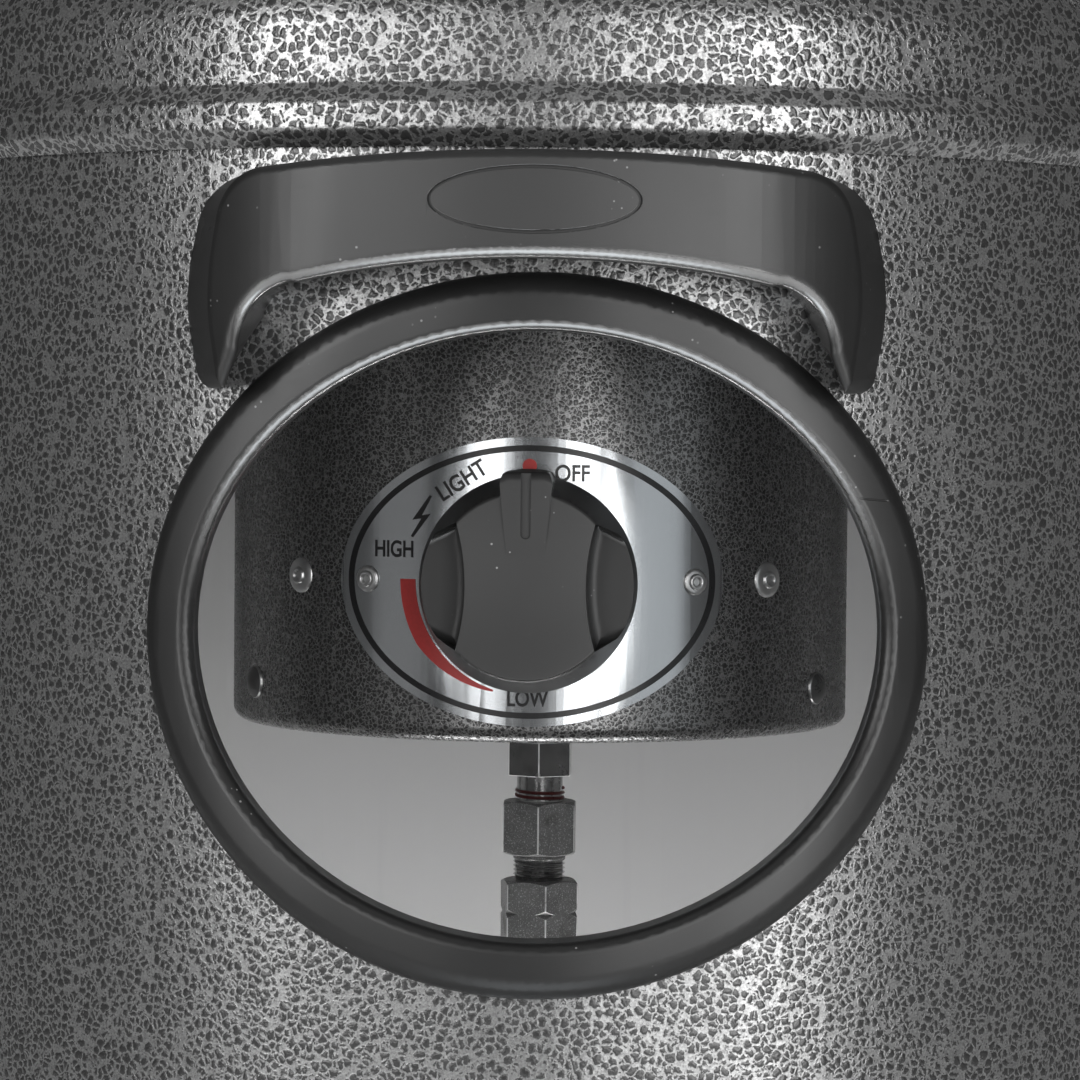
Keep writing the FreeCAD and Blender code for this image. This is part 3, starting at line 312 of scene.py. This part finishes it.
paints = {
    "hammer": hammerPaint("hammeredEnamel", hammerLook),
    "hammerCover": hammerPaint("coverEnamel", dict(hammerLook, pebble=2.8 * mm, height=0.18 * mm)),
    "hammerFine": hammerPaint("boxEnamel", dict(hammerLook, pebble=1.35 * mm, body=0.022, vein=0.27,
                                                height=0.06 * mm)),
    "inside": sheetPaint("innerGrey", innerLook),
    "handle": mouldedPaint("handlePlastic", dict(mouldLook, tone=0.013, gloss=0.75, lip=1.0, oval=ovalLook,
                                                 lipFade=(775 * mm, 788 * mm))),
    "trim": mouldedPaint("trimRubber", dict(mouldLook, tone=0.016, rough=0.34, grain=0.8 * mm, wear=0.05,
                                            lip=0.8, lipFade=(690 * mm, 750 * mm), seam=seamLook)),
    "knob": mouldedPaint("knobPlastic", dict(mouldLook, tone=0.030, rough=0.45, grain=0.35 * mm, dust=0.8,
                                             lip=0.5, lipFade=(0.1, 0.2))),
    "black": mouldedPaint("blackPlastic", dict(mouldLook, tone=0.022, rough=0.5)),
    "rubber": mouldedPaint("footRubber", dict(mouldLook, tone=0.02, rough=0.65, relief=0.03 * mm)),
    "ceramic": mouldedPaint("whiteCeramic", dict(mouldLook, tone=0.72, rough=0.25, dust=0.0, wear=0.0)),
    "plate": brushedPaint("brushedPlate", dict(plateLook, lean=(12 * mm, 25 * mm, 0.074))),
    "steel": brushedPaint("burnerSteel", dict(plateLook, tone=0.5, rough=0.32, along=(500.0, 500.0, 40.0),
                                              tint=(1.0, 0.98, 0.95))),
    "aluminium": brushedPaint("reflectorAluminium", dict(plateLook, tone=0.64, rough=0.42,
                                                         along=(60.0, 60.0, 900.0), relief=0.01 * mm)),
    "brass": brushedPaint("turnedBrass", dict(plateLook, rough=0.28, along=(300.0, 3000.0, 300.0),
                                              tint=(1.0, 0.78, 0.42))),
    "fitting": platedPaint("fittingSteel", dict(steelLook, tone=0.25, metal=0.8, glitter=0.7,
                                                relief=0.04 * mm, corner=12.7 * mm)),
    # near-white paint for the rounded edges of the fittings: painted highlight lines, and worn metal
    "worn": platedPaint("wornEdgeHighlight", dict(steelLook, tone=0.9, rough=0.34, metal=0.25, grime=0.1)),
    "turned": platedPaint("turnedSteel", dict(steelLook, tone=0.4, rough=0.19, glitter=0.0, grime=0.15)),
    "rivet": platedPaint("rivetAluminium", dict(steelLook, tone=0.72, rough=0.33, metal=0.95, glitter=0.0,
                                                grime=0.1, relief=0.002 * mm)),
    "zinc": platedPaint("zincSteel", dict(steelLook, tone=0.55, rough=0.32, metal=0.85,
                                          tint=(0.97, 1.0, 1.04), grime=0.2)),
    "darkScrew": platedPaint("blackenedScrew", dict(steelLook, tone=0.15, rough=0.3, metal=0.6, glitter=0.0,
                                                    grime=0.3, relief=0.003 * mm)),
    "ink": inkPaint("blackInk", (0.012, 0.012, 0.013), 0.30),
    "redInk": inkPaint("redInk", (0.58, 0.045, 0.042), 0.40),
    "sealant": inkPaint("threadSealant", (0.085, 0.016, 0.016), 0.30),
}
print("materials", len(paints))


bodyOf = {node: body for body, nodes in frame["record"]["behaviour"]["bodies"].items() for node in nodes}


# A bmesh becomes a piece that rides on a body and may stand for CAD nodes.
# Points nearer than weld are one, and edges sharper than softAngle stay sharp.
meshLook = {"weld": 1e-6, "fineWeld": 1e-7, "softAngle": 32.0}


def makePiece(name, shape, paintNames, like, nodes=(), sharp=meshLook["softAngle"]):
    mesh = bpy.data.meshes.new(name)
    shape.to_mesh(mesh)
    shape.free()
    for paint in paintNames:
        mesh.materials.append(paints[paint])
    mesh.set_sharp_from_angle(angle=math.radians(sharp))
    obj = bpy.data.objects.new(name, mesh)
    scene.collection.objects.link(obj)
    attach(obj, bodyOf[like])
    if nodes:
        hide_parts(*nodes)
    even = obj.modifiers.new("evenShading", "WEIGHTED_NORMAL")
    even.keep_sharp = True


def soften(shape):
    for face in shape.faces:
        face.smooth = True


def firstPaint(shape):
    for face in shape.faces:
        face.material_index = 0


def mergedCopy(node):
    shape = bmesh.new()
    shape.from_mesh(frame["nodes"][node].data)
    bmesh.ops.remove_doubles(shape, verts=shape.verts, dist=meshLook["weld"])
    soften(shape)
    firstPaint(shape)
    return shape


def slicePlane(shape, place, normal, **options):
    everything = shape.verts[:] + shape.edges[:] + shape.faces[:]
    return bmesh.ops.bisect_plane(shape, geom=everything, plane_co=place, plane_no=normal, **options)


# Slices the long faces of a round wall and puts the new points on its true radius.
wallLook = {"same": 0.02 * mm, "sag": 0.5 * mm, "inward": -1e-4}


def roundWall(shape, radius, step):
    on = set(v for v in shape.verts if abs(v.co.to_2d().length - radius) < wallLook["same"])
    reach = int(max(v.co.x for v in shape.verts) / step) + 1
    for i in range(-reach, reach + 1):
        cut = slicePlane(shape, (i * step, 0, 0), (1, 0, 0), dist=meshLook["weld"])
        for vert in cut["geom_cut"]:
            if not isinstance(vert, bmesh.types.BMVert) or vert in on:
                continue
            if sum(edge.other_vert(vert) in on for edge in vert.link_edges) > 1:
                flat = vert.co.to_2d()
                if radius - flat.length < wallLook["sag"]:
                    flat = flat.normalized() * radius
                    vert.co = Vector((flat.x, flat.y, vert.co.z))
                    on.add(vert)


# A merged copy of a CAD node with soft shading; faces that look at the axis may take a second paint.
# Slices of round walls, rounds on edges (width, angle, paint) and angles of sharp edges go by node.
roundLook = {"front_handle": 3 * mm, "dial_plate": 2 * mm}
# the worn paint on these rounds gives painted highlight lines along the edges, and worn metal
bevelLook = {"control_knob": (0.8 * mm, 30, "knob"), "union_nut": (0.5 * mm, 30, "worn"),
             "inlet_fitting": (0.4 * mm, 30, "worn")}
sharpLook = {"control_knob": 50.0, "union_nut": 50.0, "inlet_fitting": 50.0}


def dress(node, paint, inner=None):
    shape = mergedCopy(node)
    if node in roundLook:
        roundWall(shape, max(v.co.to_2d().length for v in shape.verts), roundLook[node])
    if node == "front_handle":
        recutOval(shape)
        crownEnds(shape)
    paintNames = [paint, inner] if inner else [paint]
    if node in bevelLook:
        roundEdges(shape, *bevelLook[node][:2])
        paintNames.append(bevelLook[node][2])
    if node == "control_knob":
        domeFace(shape)
    if inner:
        for face in shape.faces:
            middle = face.calc_center_median()
            outward = middle.to_2d().dot(face.normal.to_2d())
            face.material_index = 1 if outward < wallLook["inward"] else 0
    makePiece(node + "_skin", shape, paintNames, node, [node], sharpLook.get(node, meshLook["softAngle"]))


# The handle's face falls away towards both ends.
crownLook = {"from": 49 * mm, "bend": 11.0, "most": 12 * mm, "wall": 195 * mm, "proud": 30 * mm}


def crownEnds(shape):
    low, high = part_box("front_handle")
    middle = (low[0] + high[0]) / 2
    for vert in shape.verts:
        past = abs(vert.co.x - middle) - crownLook["from"]
        flat = vert.co.to_2d()
        share = (flat.length - crownLook["wall"]) / crownLook["proud"]
        if past > 0 and share > 0:
            fall = min(crownLook["bend"] * past * past * 0.5, crownLook["most"])
            flat -= flat.normalized() * fall * share
            vert.co = Vector((flat.x, flat.y, vert.co.z))


# The oval's coarse cut line is filled and cut again with a smooth ring, bent on the handle's radius.
ringLook = {"half": 0.42 * mm, "deep": 1.1 * mm, "over": 1 * mm, "turn": 1.4, "segments": 144,
            "fillWide": 1.5 * mm, "fillHigh": 0.9 * mm, "fillDeep": 1.2 * mm, "merge": 0.02 * mm}


def finalMesh(obj):
    graph = bpy.context.evaluated_depsgraph_get()
    return bpy.data.meshes.new_from_object(obj.evaluated_get(graph))


def recutOval(shape):
    look = ringLook
    radius = max(v.co.to_2d().length for v in shape.verts)
    for vert in shape.verts:
        flat = vert.co.to_2d()
        wide = (flat.x - ovalLook["x"]) / (ovalLook["halfWide"] + look["fillWide"])
        high = (vert.co.z - ovalLook["z"]) / (ovalLook["halfHigh"] + look["fillHigh"])
        if wide * wide + high * high < 1 and flat.y < 0 and flat.length > radius - look["fillDeep"]:
            flat = flat.normalized() * radius
            vert.co = Vector((flat.x, flat.y, vert.co.z))
    bmesh.ops.dissolve_degenerate(shape, dist=look["merge"], edges=shape.edges[:])
    ring = bmesh.new()
    for spread in (look["half"], -look["half"]):
        size = Matrix.Diagonal((ovalLook["halfWide"] + spread, 1, ovalLook["halfHigh"] + spread, 1))
        bmesh.ops.create_circle(ring, segments=look["segments"], radius=1.0, matrix=size @ upright)
    bmesh.ops.bridge_loops(ring, edges=ring.edges[:])
    grown = bmesh.ops.extrude_face_region(ring, geom=ring.faces[:])
    raised = [item for item in grown["geom"] if isinstance(item, bmesh.types.BMVert)]
    bmesh.ops.translate(ring, verts=raised, vec=(0, look["deep"] + look["over"], 0))
    for vert in ring.verts:
        far = radius - look["deep"] + vert.co.y
        vert.co = Vector((vert.co.x, -math.sqrt(far * far - vert.co.x ** 2), vert.co.z + ovalLook["z"]))
    bmesh.ops.rotate(ring, verts=ring.verts, matrix=Matrix.Rotation(math.radians(look["turn"]), 3, "Z"))
    bmesh.ops.recalc_face_normals(ring, faces=ring.faces)
    holders = []
    for name, source in (("ovalRing", ring), ("ovalBlank", shape)):
        mesh = bpy.data.meshes.new(name)
        source.to_mesh(mesh)
        holders.append(bpy.data.objects.new(name, mesh))
        scene.collection.objects.link(holders[-1])
    ring.free()
    cut = holders[1].modifiers.new("oval", "BOOLEAN")
    cut.object = holders[0]
    cut.operation = "DIFFERENCE"
    cut.solver = "EXACT"
    result = finalMesh(holders[1])
    shape.clear()
    shape.from_mesh(result)
    soften(shape)
    firstPaint(shape)
    for mesh in [holder.data for holder in holders] + [result]:
        bpy.data.meshes.remove(mesh)


# Edges where the faces turn by more than an angle get a small round in the second paint.
edgeLook = {"flat": 1.0, "segments": 3, "profile": 0.5}


def roundEdges(shape, width, angle):
    bmesh.ops.dissolve_limit(shape, angle_limit=math.radians(edgeLook["flat"]), verts=shape.verts[:],
                             edges=shape.edges[:], use_dissolve_boundaries=False, delimit=set())
    sharp = [e for e in shape.edges if e.is_manifold and e.calc_face_angle(0.0) > math.radians(angle)]
    bmesh.ops.bevel(shape, geom=sharp, offset=width, offset_type="OFFSET", segments=edgeLook["segments"],
                    profile=edgeLook["profile"], affect="EDGES", clamp_overlap=True, material=1)
    soften(shape)


# The knob's flat face is sliced and made slightly domed, and its pointer's tip is raised.
domeLook = {"slice": 2.5 * mm, "cuts": 12, "face": 1.9 * mm, "fall": 2.2 * mm, "radius": 27 * mm,
            "deep": 4 * mm, "weld": 1e-5}
tipLook = {"from": 20 * mm, "to": 27 * mm, "inner": 6.6 * mm, "outer": 7.6 * mm, "rise": 1.5 * mm}


def clamped(value):
    return min(max(value, 0), 1)


def domeFace(shape):
    look = domeLook
    low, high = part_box("control_knob")
    middle = Vector((0, 0, (low[2] + high[2]) / 2))
    front = min(v.co.y for v in shape.verts) + look["face"]
    for side in (Vector((1, 0, 0)), Vector((0, 0, 1))):
        for i in range(-look["cuts"], look["cuts"] + 1):
            slicePlane(shape, middle + side * (i * look["slice"]), side, dist=look["weld"])
    for vert in shape.verts:
        far = math.hypot(vert.co.x, vert.co.z - middle.z) / look["radius"]
        share = 1 - clamped((vert.co.y - front) / look["deep"])
        vert.co.y += look["fall"] * far * far * share
        up = (vert.co.z - middle.z - tipLook["from"]) / (tipLook["to"] - tipLook["from"])
        near = (tipLook["outer"] - abs(vert.co.x)) / (tipLook["outer"] - tipLook["inner"])
        vert.co.z += tipLook["rise"] * clamped(up) * clamped(near)


# Sections drawn as (radius, height) in millimetres, turned about the upright axis and moved to a seat
def turnSection(shape, section, seat, steps=40, paintFrom=None):
    turned = bmesh.new()
    verts = [turned.verts.new((r * mm, 0, h * mm)) for r, h in section]
    edges = [turned.edges.new(pair) for pair in zip(verts, verts[1:])]
    bmesh.ops.spin(turned, geom=verts + edges, cent=(0, 0, 0), axis=(0, 0, 1), angle=math.tau, steps=steps,
                   use_merge=True)
    bmesh.ops.remove_doubles(turned, verts=turned.verts, dist=meshLook["fineWeld"])
    bmesh.ops.recalc_face_normals(turned, faces=turned.faces)
    for face in turned.faces:
        face.smooth = True
        far = face.calc_center_median().to_2d().length
        face.material_index = 1 if paintFrom and far > paintFrom * mm else 0
    turned.transform(seat)
    store = bpy.data.meshes.new("store")
    turned.to_mesh(store)
    turned.free()
    shape.from_mesh(store)
    bpy.data.meshes.remove(store)


# Seats of a node's separate heads: on the wall under each head's tip, looking outwards
def headSeats(node, headHeight):
    shape = mergedCopy(node)
    left = set(shape.verts)
    seats = []
    for first in shape.verts:
        if first not in left:
            continue
        left.remove(first)
        group = [first]
        for vert in group:
            for edge in vert.link_edges:
                other = edge.other_vert(vert)
                if other in left:
                    left.remove(other)
                    group.append(other)
        tip = max(group, key=lambda v: v.co.to_2d().length).co
        out = Vector((tip.x, tip.y, 0)).normalized()
        foot = tip - out * headHeight * mm
        seats.append(Matrix.Translation(foot) @ out.to_track_quat("Z", "Y").to_matrix().to_4x4())
    shape.free()
    return seats


# Pop rivets with the mandrel's stub in the hole, and domed screws with a rubbed rim
rivetLook = {"head": 1.8, "sharp": 40.0,
             "bracket": [(0, 0.85), (0.9, 0.8), (1.05, 0.35), (1.25, 0.35), (1.32, 1.2), (1.42, 1.5),
                         (1.65, 1.72), (1.95, 1.8), (2.25, 1.7), (2.48, 1.45), (2.58, 1.1), (2.64, 0.9),
                         (3.5, 0.88), (4.4, 0.68), (4.95, 0.38), (5.2, 0.02), (5.2, -0.2), (0, -0.2)],
             "plate": [(0, 0.85), (0.85, 0.8), (0.98, 0.35), (1.18, 0.35), (1.25, 1.2), (1.33, 1.5),
                       (1.52, 1.72), (1.8, 1.8), (2.08, 1.7), (2.28, 1.45), (2.37, 1.1), (2.42, 0.88),
                       (3.1, 0.82), (3.55, 0.55), (3.82, 0.2), (3.9, -0.05), (3.9, -0.25), (0, -0.25)]}
screwLook = {"head": 2.6, "sharp": 40.0, "rim": 4.62,
             "dome": [(0, 2.6), (1.5, 2.5), (2.8, 2.12), (3.8, 1.5), (4.4, 0.95), (4.6, 0.7), (4.78, 0.52),
                      (4.85, 0.3), (4.85, -0.35), (0, -0.35)]}


def makeHeads():
    for name, section in (("bracket_rivets", "bracket"), ("plate_rivets", "plate")):
        shape = bmesh.new()
        for seat in headSeats(name, rivetLook["head"]):
            turnSection(shape, rivetLook[section], seat)
        makePiece(name + "_head", shape, ["rivet"], name, [name], rivetLook["sharp"])
    shape = bmesh.new()
    for seat in headSeats("box_screws", screwLook["head"]):
        turnSection(shape, screwLook["dome"], seat, paintFrom=screwLook["rim"])
    name = "box_screws"
    makePiece(name + "_head", shape, ["darkScrew", "rivet"], name, [name], screwLook["sharp"])
    print("rivets and screws made")


# Dial print: words, signs and the line round the plate, in millimetres from the plate's middle
dialLook = {"lift": 0.04, "depth": 0.02, "slice": 1.5, "cuts": 36, "merge": 0.004, "bold": 0.022,
            "words": [("OFF", 12.0, 31.2, 9.9, 4.9, 0), ("LOW", -0.2, -33.2, 11.8, 4.9, 0),
                      ("HIGH", -39.4, 8.9, 11.4, 4.9, 0), ("LIGHT", -19.7, 29.0, 15.8, 4.9, 33)],
            "bolt": [(-29.06, 24.46), (-34.09, 17.34), (-31.43, 17.74), (-34.51, 12.63), (-33.80, 12.29),
                     (-28.71, 19.14), (-31.23, 18.69), (-28.34, 24.14)],
            "line": [(53.1, 39.1), (51.4, 37.4)], "lineSides": 120,
            "dot": (-0.2, 33.2, 2.05), "dotSides": 32}
arcLook = {"centre": (-0.3, 0.3), "radii": (32.7, 37.2, 33.3), "sweep": 72.5, "full": 0.42, "steps": 48}


# A flat shape in X and Z, given in millimetres, is sliced, thickened and bent onto the plate.
def printOnPlate(name, shape, paint):
    look = dialLook
    low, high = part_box("dial_plate")
    middleZ = (low[2] + high[2]) / 2
    for i in range(-look["cuts"], look["cuts"] + 1):
        slicePlane(shape, (i * look["slice"], 0, 0), (1, 0, 0))
    bmesh.ops.dissolve_degenerate(shape, dist=look["merge"], edges=shape.edges[:])
    grown = bmesh.ops.extrude_face_region(shape, geom=shape.faces[:])
    raised = [item for item in grown["geom"] if isinstance(item, bmesh.types.BMVert)]
    bmesh.ops.translate(shape, verts=raised, vec=(0, look["depth"], 0))
    plate = frame["nodes"]["dial_plate"].data.vertices
    radius = max(vert.co.to_2d().length for vert in plate) / mm + look["lift"]
    for vert in shape.verts:
        far = radius + vert.co.y
        near = -math.sqrt(far * far - vert.co.x ** 2)
        vert.co = Vector((vert.co.x, near, vert.co.z + middleZ / mm)) * mm
    bmesh.ops.recalc_face_normals(shape, faces=shape.faces)
    makePiece(name, shape, [paint], "dial_plate")


def writeWord(text, x, z, width, height, turn):
    curve = bpy.data.curves.new(text, "FONT")
    curve.body = text
    curve.offset = dialLook["bold"]
    holder = bpy.data.objects.new(text, curve)
    scene.collection.objects.link(holder)
    flat = finalMesh(holder)
    bpy.data.objects.remove(holder)
    shape = bmesh.new()
    shape.from_mesh(flat)
    bpy.data.meshes.remove(flat)
    bmesh.ops.remove_doubles(shape, verts=shape.verts, dist=1e-5)
    xs = [vert.co.x for vert in shape.verts]
    ys = [vert.co.y for vert in shape.verts]
    centre = Vector(((min(xs) + max(xs)) / 2, (min(ys) + max(ys)) / 2, 0))
    fit = Matrix.Diagonal((width / (max(xs) - min(xs)), height / (max(ys) - min(ys)), 1, 1))
    spot = Matrix.Translation((x, 0, z)) @ Matrix.Rotation(math.radians(-turn), 4, "Y") @ upright
    shape.transform(spot @ fit @ Matrix.Translation(-centre))
    printOnPlate("print_" + text, shape, "ink")


def drawSigns():
    look = dialLook
    shape = bmesh.new()
    shape.faces.new([shape.verts.new((x, 0, z)) for x, z in look["bolt"]])
    printOnPlate("print_bolt", shape, "ink")
    shape = bmesh.new()
    x, z, radius = look["dot"]
    spot = Matrix.Translation((x, 0, z)) @ upright
    bmesh.ops.create_circle(shape, cap_ends=True, segments=look["dotSides"], radius=radius, matrix=spot)
    printOnPlate("print_dot", shape, "redInk")
    shape = bmesh.new()
    for halfWide, halfHigh in look["line"]:
        oval = Matrix.Diagonal((halfWide, 1, halfHigh, 1)) @ upright
        bmesh.ops.create_circle(shape, segments=look["lineSides"], radius=1.0, matrix=oval)
    bmesh.ops.bridge_loops(shape, edges=shape.edges[:])
    printOnPlate("print_line", shape, "ink")


# The red arc tapers from outer to tip radius over the rest of its sweep after the full part.
def drawArc():
    look = arcLook
    inner, outer, tip = look["radii"]
    shape = bmesh.new()
    ends = [shape.verts.new((-r, 0, 0)) for r in (inner, outer)]
    side = shape.edges.new(ends)
    bmesh.ops.spin(shape, geom=ends + [side], cent=(0, 0, 0), axis=(0, 1, 0),
                   angle=-math.radians(look["sweep"]), steps=look["steps"], use_merge=False)
    for vert in shape.verts:
        swept = math.degrees(math.atan2(-vert.co.z, -vert.co.x)) / look["sweep"]
        if vert.co.length > (inner + outer) / 2 and swept > look["full"]:
            taper = (swept - look["full"]) / (1 - look["full"])
            vert.co *= (outer + (tip - outer) * taper) / vert.co.length
    bmesh.ops.translate(shape, verts=shape.verts, vec=(look["centre"][0], 0, look["centre"][1]))
    printOnPlate("print_arc", shape, "redInk")


makeHeads()
for word in dialLook["words"]:
    writeWord(*word)
drawSigns()
drawArc()
print("dial printed")


# Gas fittings, in millimetres: a cut thread on the coupling's neck and red sealant on the nipple
threadLook = {"hex": 16.5, "under": 0.05, "round": 0.45, "angle": 25, "merge": 0.0002, "shoulder": 1.7,
              "core": 7.3, "crest": 8.1, "relief": 0.25, "overlap": 0.4, "slant": 0.3, "neckSides": 48,
              "pitch": 1.34, "flank": 0.58, "root": 0.2, "flat": 0.06, "steps": 40,
              "sharp": 50.0}
sealantLook = {"radius": 7.25, "cord": 0.52, "cordSides": 10, "pitch": 1.5, "turns": 2.3, "rise": 0.5,
               "steps": 40}


def closeHoles(shape, sides):
    bmesh.ops.holes_fill(shape, edges=[edge for edge in shape.edges if edge.is_boundary], sides=sides)


def windSection(shape, section, pitch, turns, steps):
    verts = [shape.verts.new((r * mm, 0, h * mm)) for r, h in section]
    edges = [shape.edges.new(pair) for pair in zip(verts, verts[1:] + verts[:1])]
    bmesh.ops.spin(shape, geom=verts + edges, cent=(0, 0, 0), axis=(0, 0, 1), angle=math.tau * turns,
                   dvec=(0, 0, -pitch * mm / steps), steps=int(steps * turns), use_merge=False)
    closeHoles(shape, 16)
    bmesh.ops.recalc_face_normals(shape, faces=shape.faces)
    soften(shape)


def makeCoupling():
    look = threadLook
    node = "adapter_coupling"
    low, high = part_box(node)
    foot = low[2] / mm
    hexLow = high[2] / mm - look["hex"]
    start = hexLow - look["shoulder"]
    core, crest = look["core"], look["crest"]
    shape = mergedCopy(node)
    slicePlane(shape, (0, 0, (hexLow - look["under"]) * mm), (0, 0, -1), clear_outer=True)
    closeHoles(shape, 0)
    roundEdges(shape, look["round"] * mm, look["angle"])
    bmesh.ops.dissolve_degenerate(shape, dist=look["merge"] * mm, edges=shape.edges[:])
    thin = crest - look["relief"]
    reach, slant = look["overlap"], look["slant"]
    neck = [(0, hexLow + reach), (thin, hexLow + reach), (thin, hexLow - reach),
            (crest, hexLow - reach - slant), (crest, start + slant), (core, start - slant),
            (core, foot), (0, foot)]
    turnSection(shape, neck, Matrix.Identity(4), look["neckSides"])
    makePiece("coupling_skin", shape, ["fitting", "worn"], node, [node], look["sharp"])
    turns = (start - foot - look["flank"]) / look["pitch"]
    root, top = core - look["root"], crest - look["flat"]
    ridge = [(root, start + look["flank"]), (top, start + look["flat"]), (top, start - look["flat"]),
             (root, start - look["flank"])]
    shape = bmesh.new()
    windSection(shape, ridge, look["pitch"], turns, look["steps"])
    makePiece("coupling_thread", shape, ["turned"], node)


def makeSealant():
    look = sealantLook
    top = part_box("inlet_fitting")[0][2] / mm + look["rise"] + look["pitch"] * look["turns"]
    angles = [math.tau * i / look["cordSides"] for i in range(look["cordSides"])]
    ring = [(look["radius"] + look["cord"] * math.cos(a), top + look["cord"] * math.sin(a)) for a in angles]
    shape = bmesh.new()
    windSection(shape, ring, look["pitch"], look["turns"], look["steps"])
    makePiece("nipple_sealant", shape, ["sealant"], "inlet_fitting")


makeCoupling()
makeSealant()
print("fittings made")


nodePaint = {
    "hammerCover": ["housing_cover"],
    "hammer": ["post", "head_cup", "base_plate"],
    "hammerFine": ["control_box_front", "control_box_rear", "box_floor", "post_bracket", "support_legs"],
    "rubber": ["base_feet", "ignition_lead", "thermocouple_lead"],
    "black": ["igniter_unit", "tilt_switch", "collar_bush"],
    "zinc": ["leg_bolts", "post_bolts", "head_screws", "cover_screws", "handle_screws",
             "reflector_washers", "wing_nuts", "reflector_studs", "stud_spacers", "valve_bracket",
             "valve_body", "valve_spindle"],
    "turned": ["inlet_fitting"],
    "fitting": ["union_nut", "hose_tail"],
    "plate": ["dial_plate"],
    "brass": ["valve_plug", "magnet_unit", "burner_jet", "gas_tube"],
    "knob": ["control_knob"],
    "steel": ["burner_mixer", "burner_plate", "flame_screen", "screen_cap"],
    "ceramic": ["electrode", "thermocouple_tip"],
    "aluminium": ["reflector"],
    "trim": ["opening_trim"],
    "handle": ["front_handle"],
}
for paint, nodes in nodePaint.items():
    for node in nodes:
        dress(node, paint)
dress("tank_housing", "hammer", "inside")
print("nodes covered", len(bodyOf))


# Camera of the photograph: the post's axis falls on one column, the eye's height on one row.
eyeLook = {"eye": (44.2 * mm, -1224.2 * mm, 764 * mm), "lens": 132.03, "sensor": 36, "pixels": 1080,
           "axisColumn": 542, "eyeRow": 400, "roll": 0.5}


def pixelTilt(pixels):
    return math.atan(pixels / eyeLook["pixels"] * eyeLook["sensor"] / eyeLook["lens"])


def makeCamera():
    data = bpy.data.cameras.new("camera")
    data.lens = eyeLook["lens"]
    data.sensor_width = eyeLook["sensor"]
    eye = bpy.data.objects.new("camera", data)
    scene.collection.objects.link(eye)
    x, y, z = eyeLook["eye"]
    middle = eyeLook["pixels"] / 2
    yaw = math.atan2(x, -y) + pixelTilt(eyeLook["axisColumn"] - middle)
    pitch = math.pi / 2 - pixelTilt(middle - eyeLook["eyeRow"])
    turn = Matrix.Rotation(yaw, 4, "Z") @ Matrix.Rotation(pitch, 4, "X")
    turn = turn @ Matrix.Rotation(math.radians(eyeLook["roll"]), 4, "Z")
    eye.matrix_world = Matrix.Translation((x, y, z)) @ turn
    scene.camera = eye


# Soft boxes stand on a ring about the axis: azimuth span, elevation span, distance, radiance, tint
studioLook = {"height": 0.74, "world": 0.04, "floorSize": 15, "floorTones": (0.74, 0.8), "floorRough": 0.7}
lampLook = {"leftBox": (-24, -11, -6, 26, 2.1, 3.3, plain),
            "leftWing": (-48, -31, -6, 26, 2.1, 6.0, plain),
            "rightBox": (10.5, 25, -14, 24, 2.1, 3.7, plain),
            "rightWing": (31, 46, -14, 24, 2.1, 6.2, plain),
            "lowBox": (-20, 24, -76, -38, 0.82, 1.5, (0.88, 0.95, 1.0)),
            "backLeft": (150, 178, -9, 32, 2.6, 2.6, plain),
            "backRight": (182, 215, -9, 32, 2.6, 2.2, plain)}
# One box hangs over the heater and three small ones stand in the housing: place, target, width, height,
# radiance, tint
nearLook = {"topBox": ((0, 0, 4.4), (0, 0, 2.2), 6.0, 6.0, 0.3, plain),
            "sidePanel": ((0.105, -0.145, 0.71), (0.03, -0.09, 0.71), 0.05, 0.13, 0.5, (0.92, 0.97, 1.0)),
            "sideFill": ((-0.105, -0.145, 0.71), (-0.03, -0.09, 0.71), 0.05, 0.13, 0.14, plain),
            "insideBox": ((0, -0.04, 0.45), (0, 0.19, 0.64), 0.2, 0.1, 12.0, plain)}


def softBox(name, place, target, wide, high, radiance, tint):
    lamp = bpy.data.lights.new(name, "AREA")
    lamp.shape = "RECTANGLE"
    lamp.size = wide
    lamp.size_y = high
    lamp.energy = radiance * math.pi * wide * high
    lamp.color = tint
    box = bpy.data.objects.new(name, lamp)
    scene.collection.objects.link(box)
    box.visible_camera = False
    aim = (Vector(target) - Vector(place)).to_track_quat("-Z", "Y")
    box.matrix_world = Matrix.Translation(place) @ aim.to_matrix().to_4x4()


def lightStudio():
    target = Vector((0, 0, studioLook["height"]))
    for name, look in lampLook.items():
        left, right, low, high, far, radiance, tint = look
        azimuth = math.radians((left + right) / 2)
        rise = math.radians((low + high) / 2)
        flat = far * math.cos(rise)
        place = target + Vector((flat * math.sin(azimuth), -flat * math.cos(azimuth), far * math.sin(rise)))
        wide = 2 * flat * math.tan(math.radians(right - left) / 2)
        tall = 2 * far * math.tan(math.radians(high - low) / 2)
        softBox(name, place, target, wide, tall, radiance, tint)
    for name, look in nearLook.items():
        softBox(name, *look)


def layFloor():
    shape = bmesh.new()
    bmesh.ops.create_grid(shape, x_segments=1, y_segments=1, size=studioLook["floorSize"])
    mesh = bpy.data.meshes.new("floor")
    shape.to_mesh(mesh)
    shape.free()
    floor = bpy.data.objects.new("floor", mesh)
    scene.collection.objects.link(floor)
    p = Paint("paleFloor")
    colour = p.shades(p.noise(0.8, detail=2.0), 1.0, studioLook["floorTones"])
    mesh.materials.append(p.surface(Base_Color=colour, Roughness=studioLook["floorRough"]))


makeCamera()
lightStudio()
layFloor()
world = bpy.data.worlds.new("studio")
scene.world = world
world.use_nodes = True
sky = world.node_tree.nodes["Background"]
sky.inputs["Color"].default_value = grey(1.0)
sky.inputs["Strength"].default_value = studioLook["world"]
scene.view_settings.view_transform = "Standard"
print("studio lit")
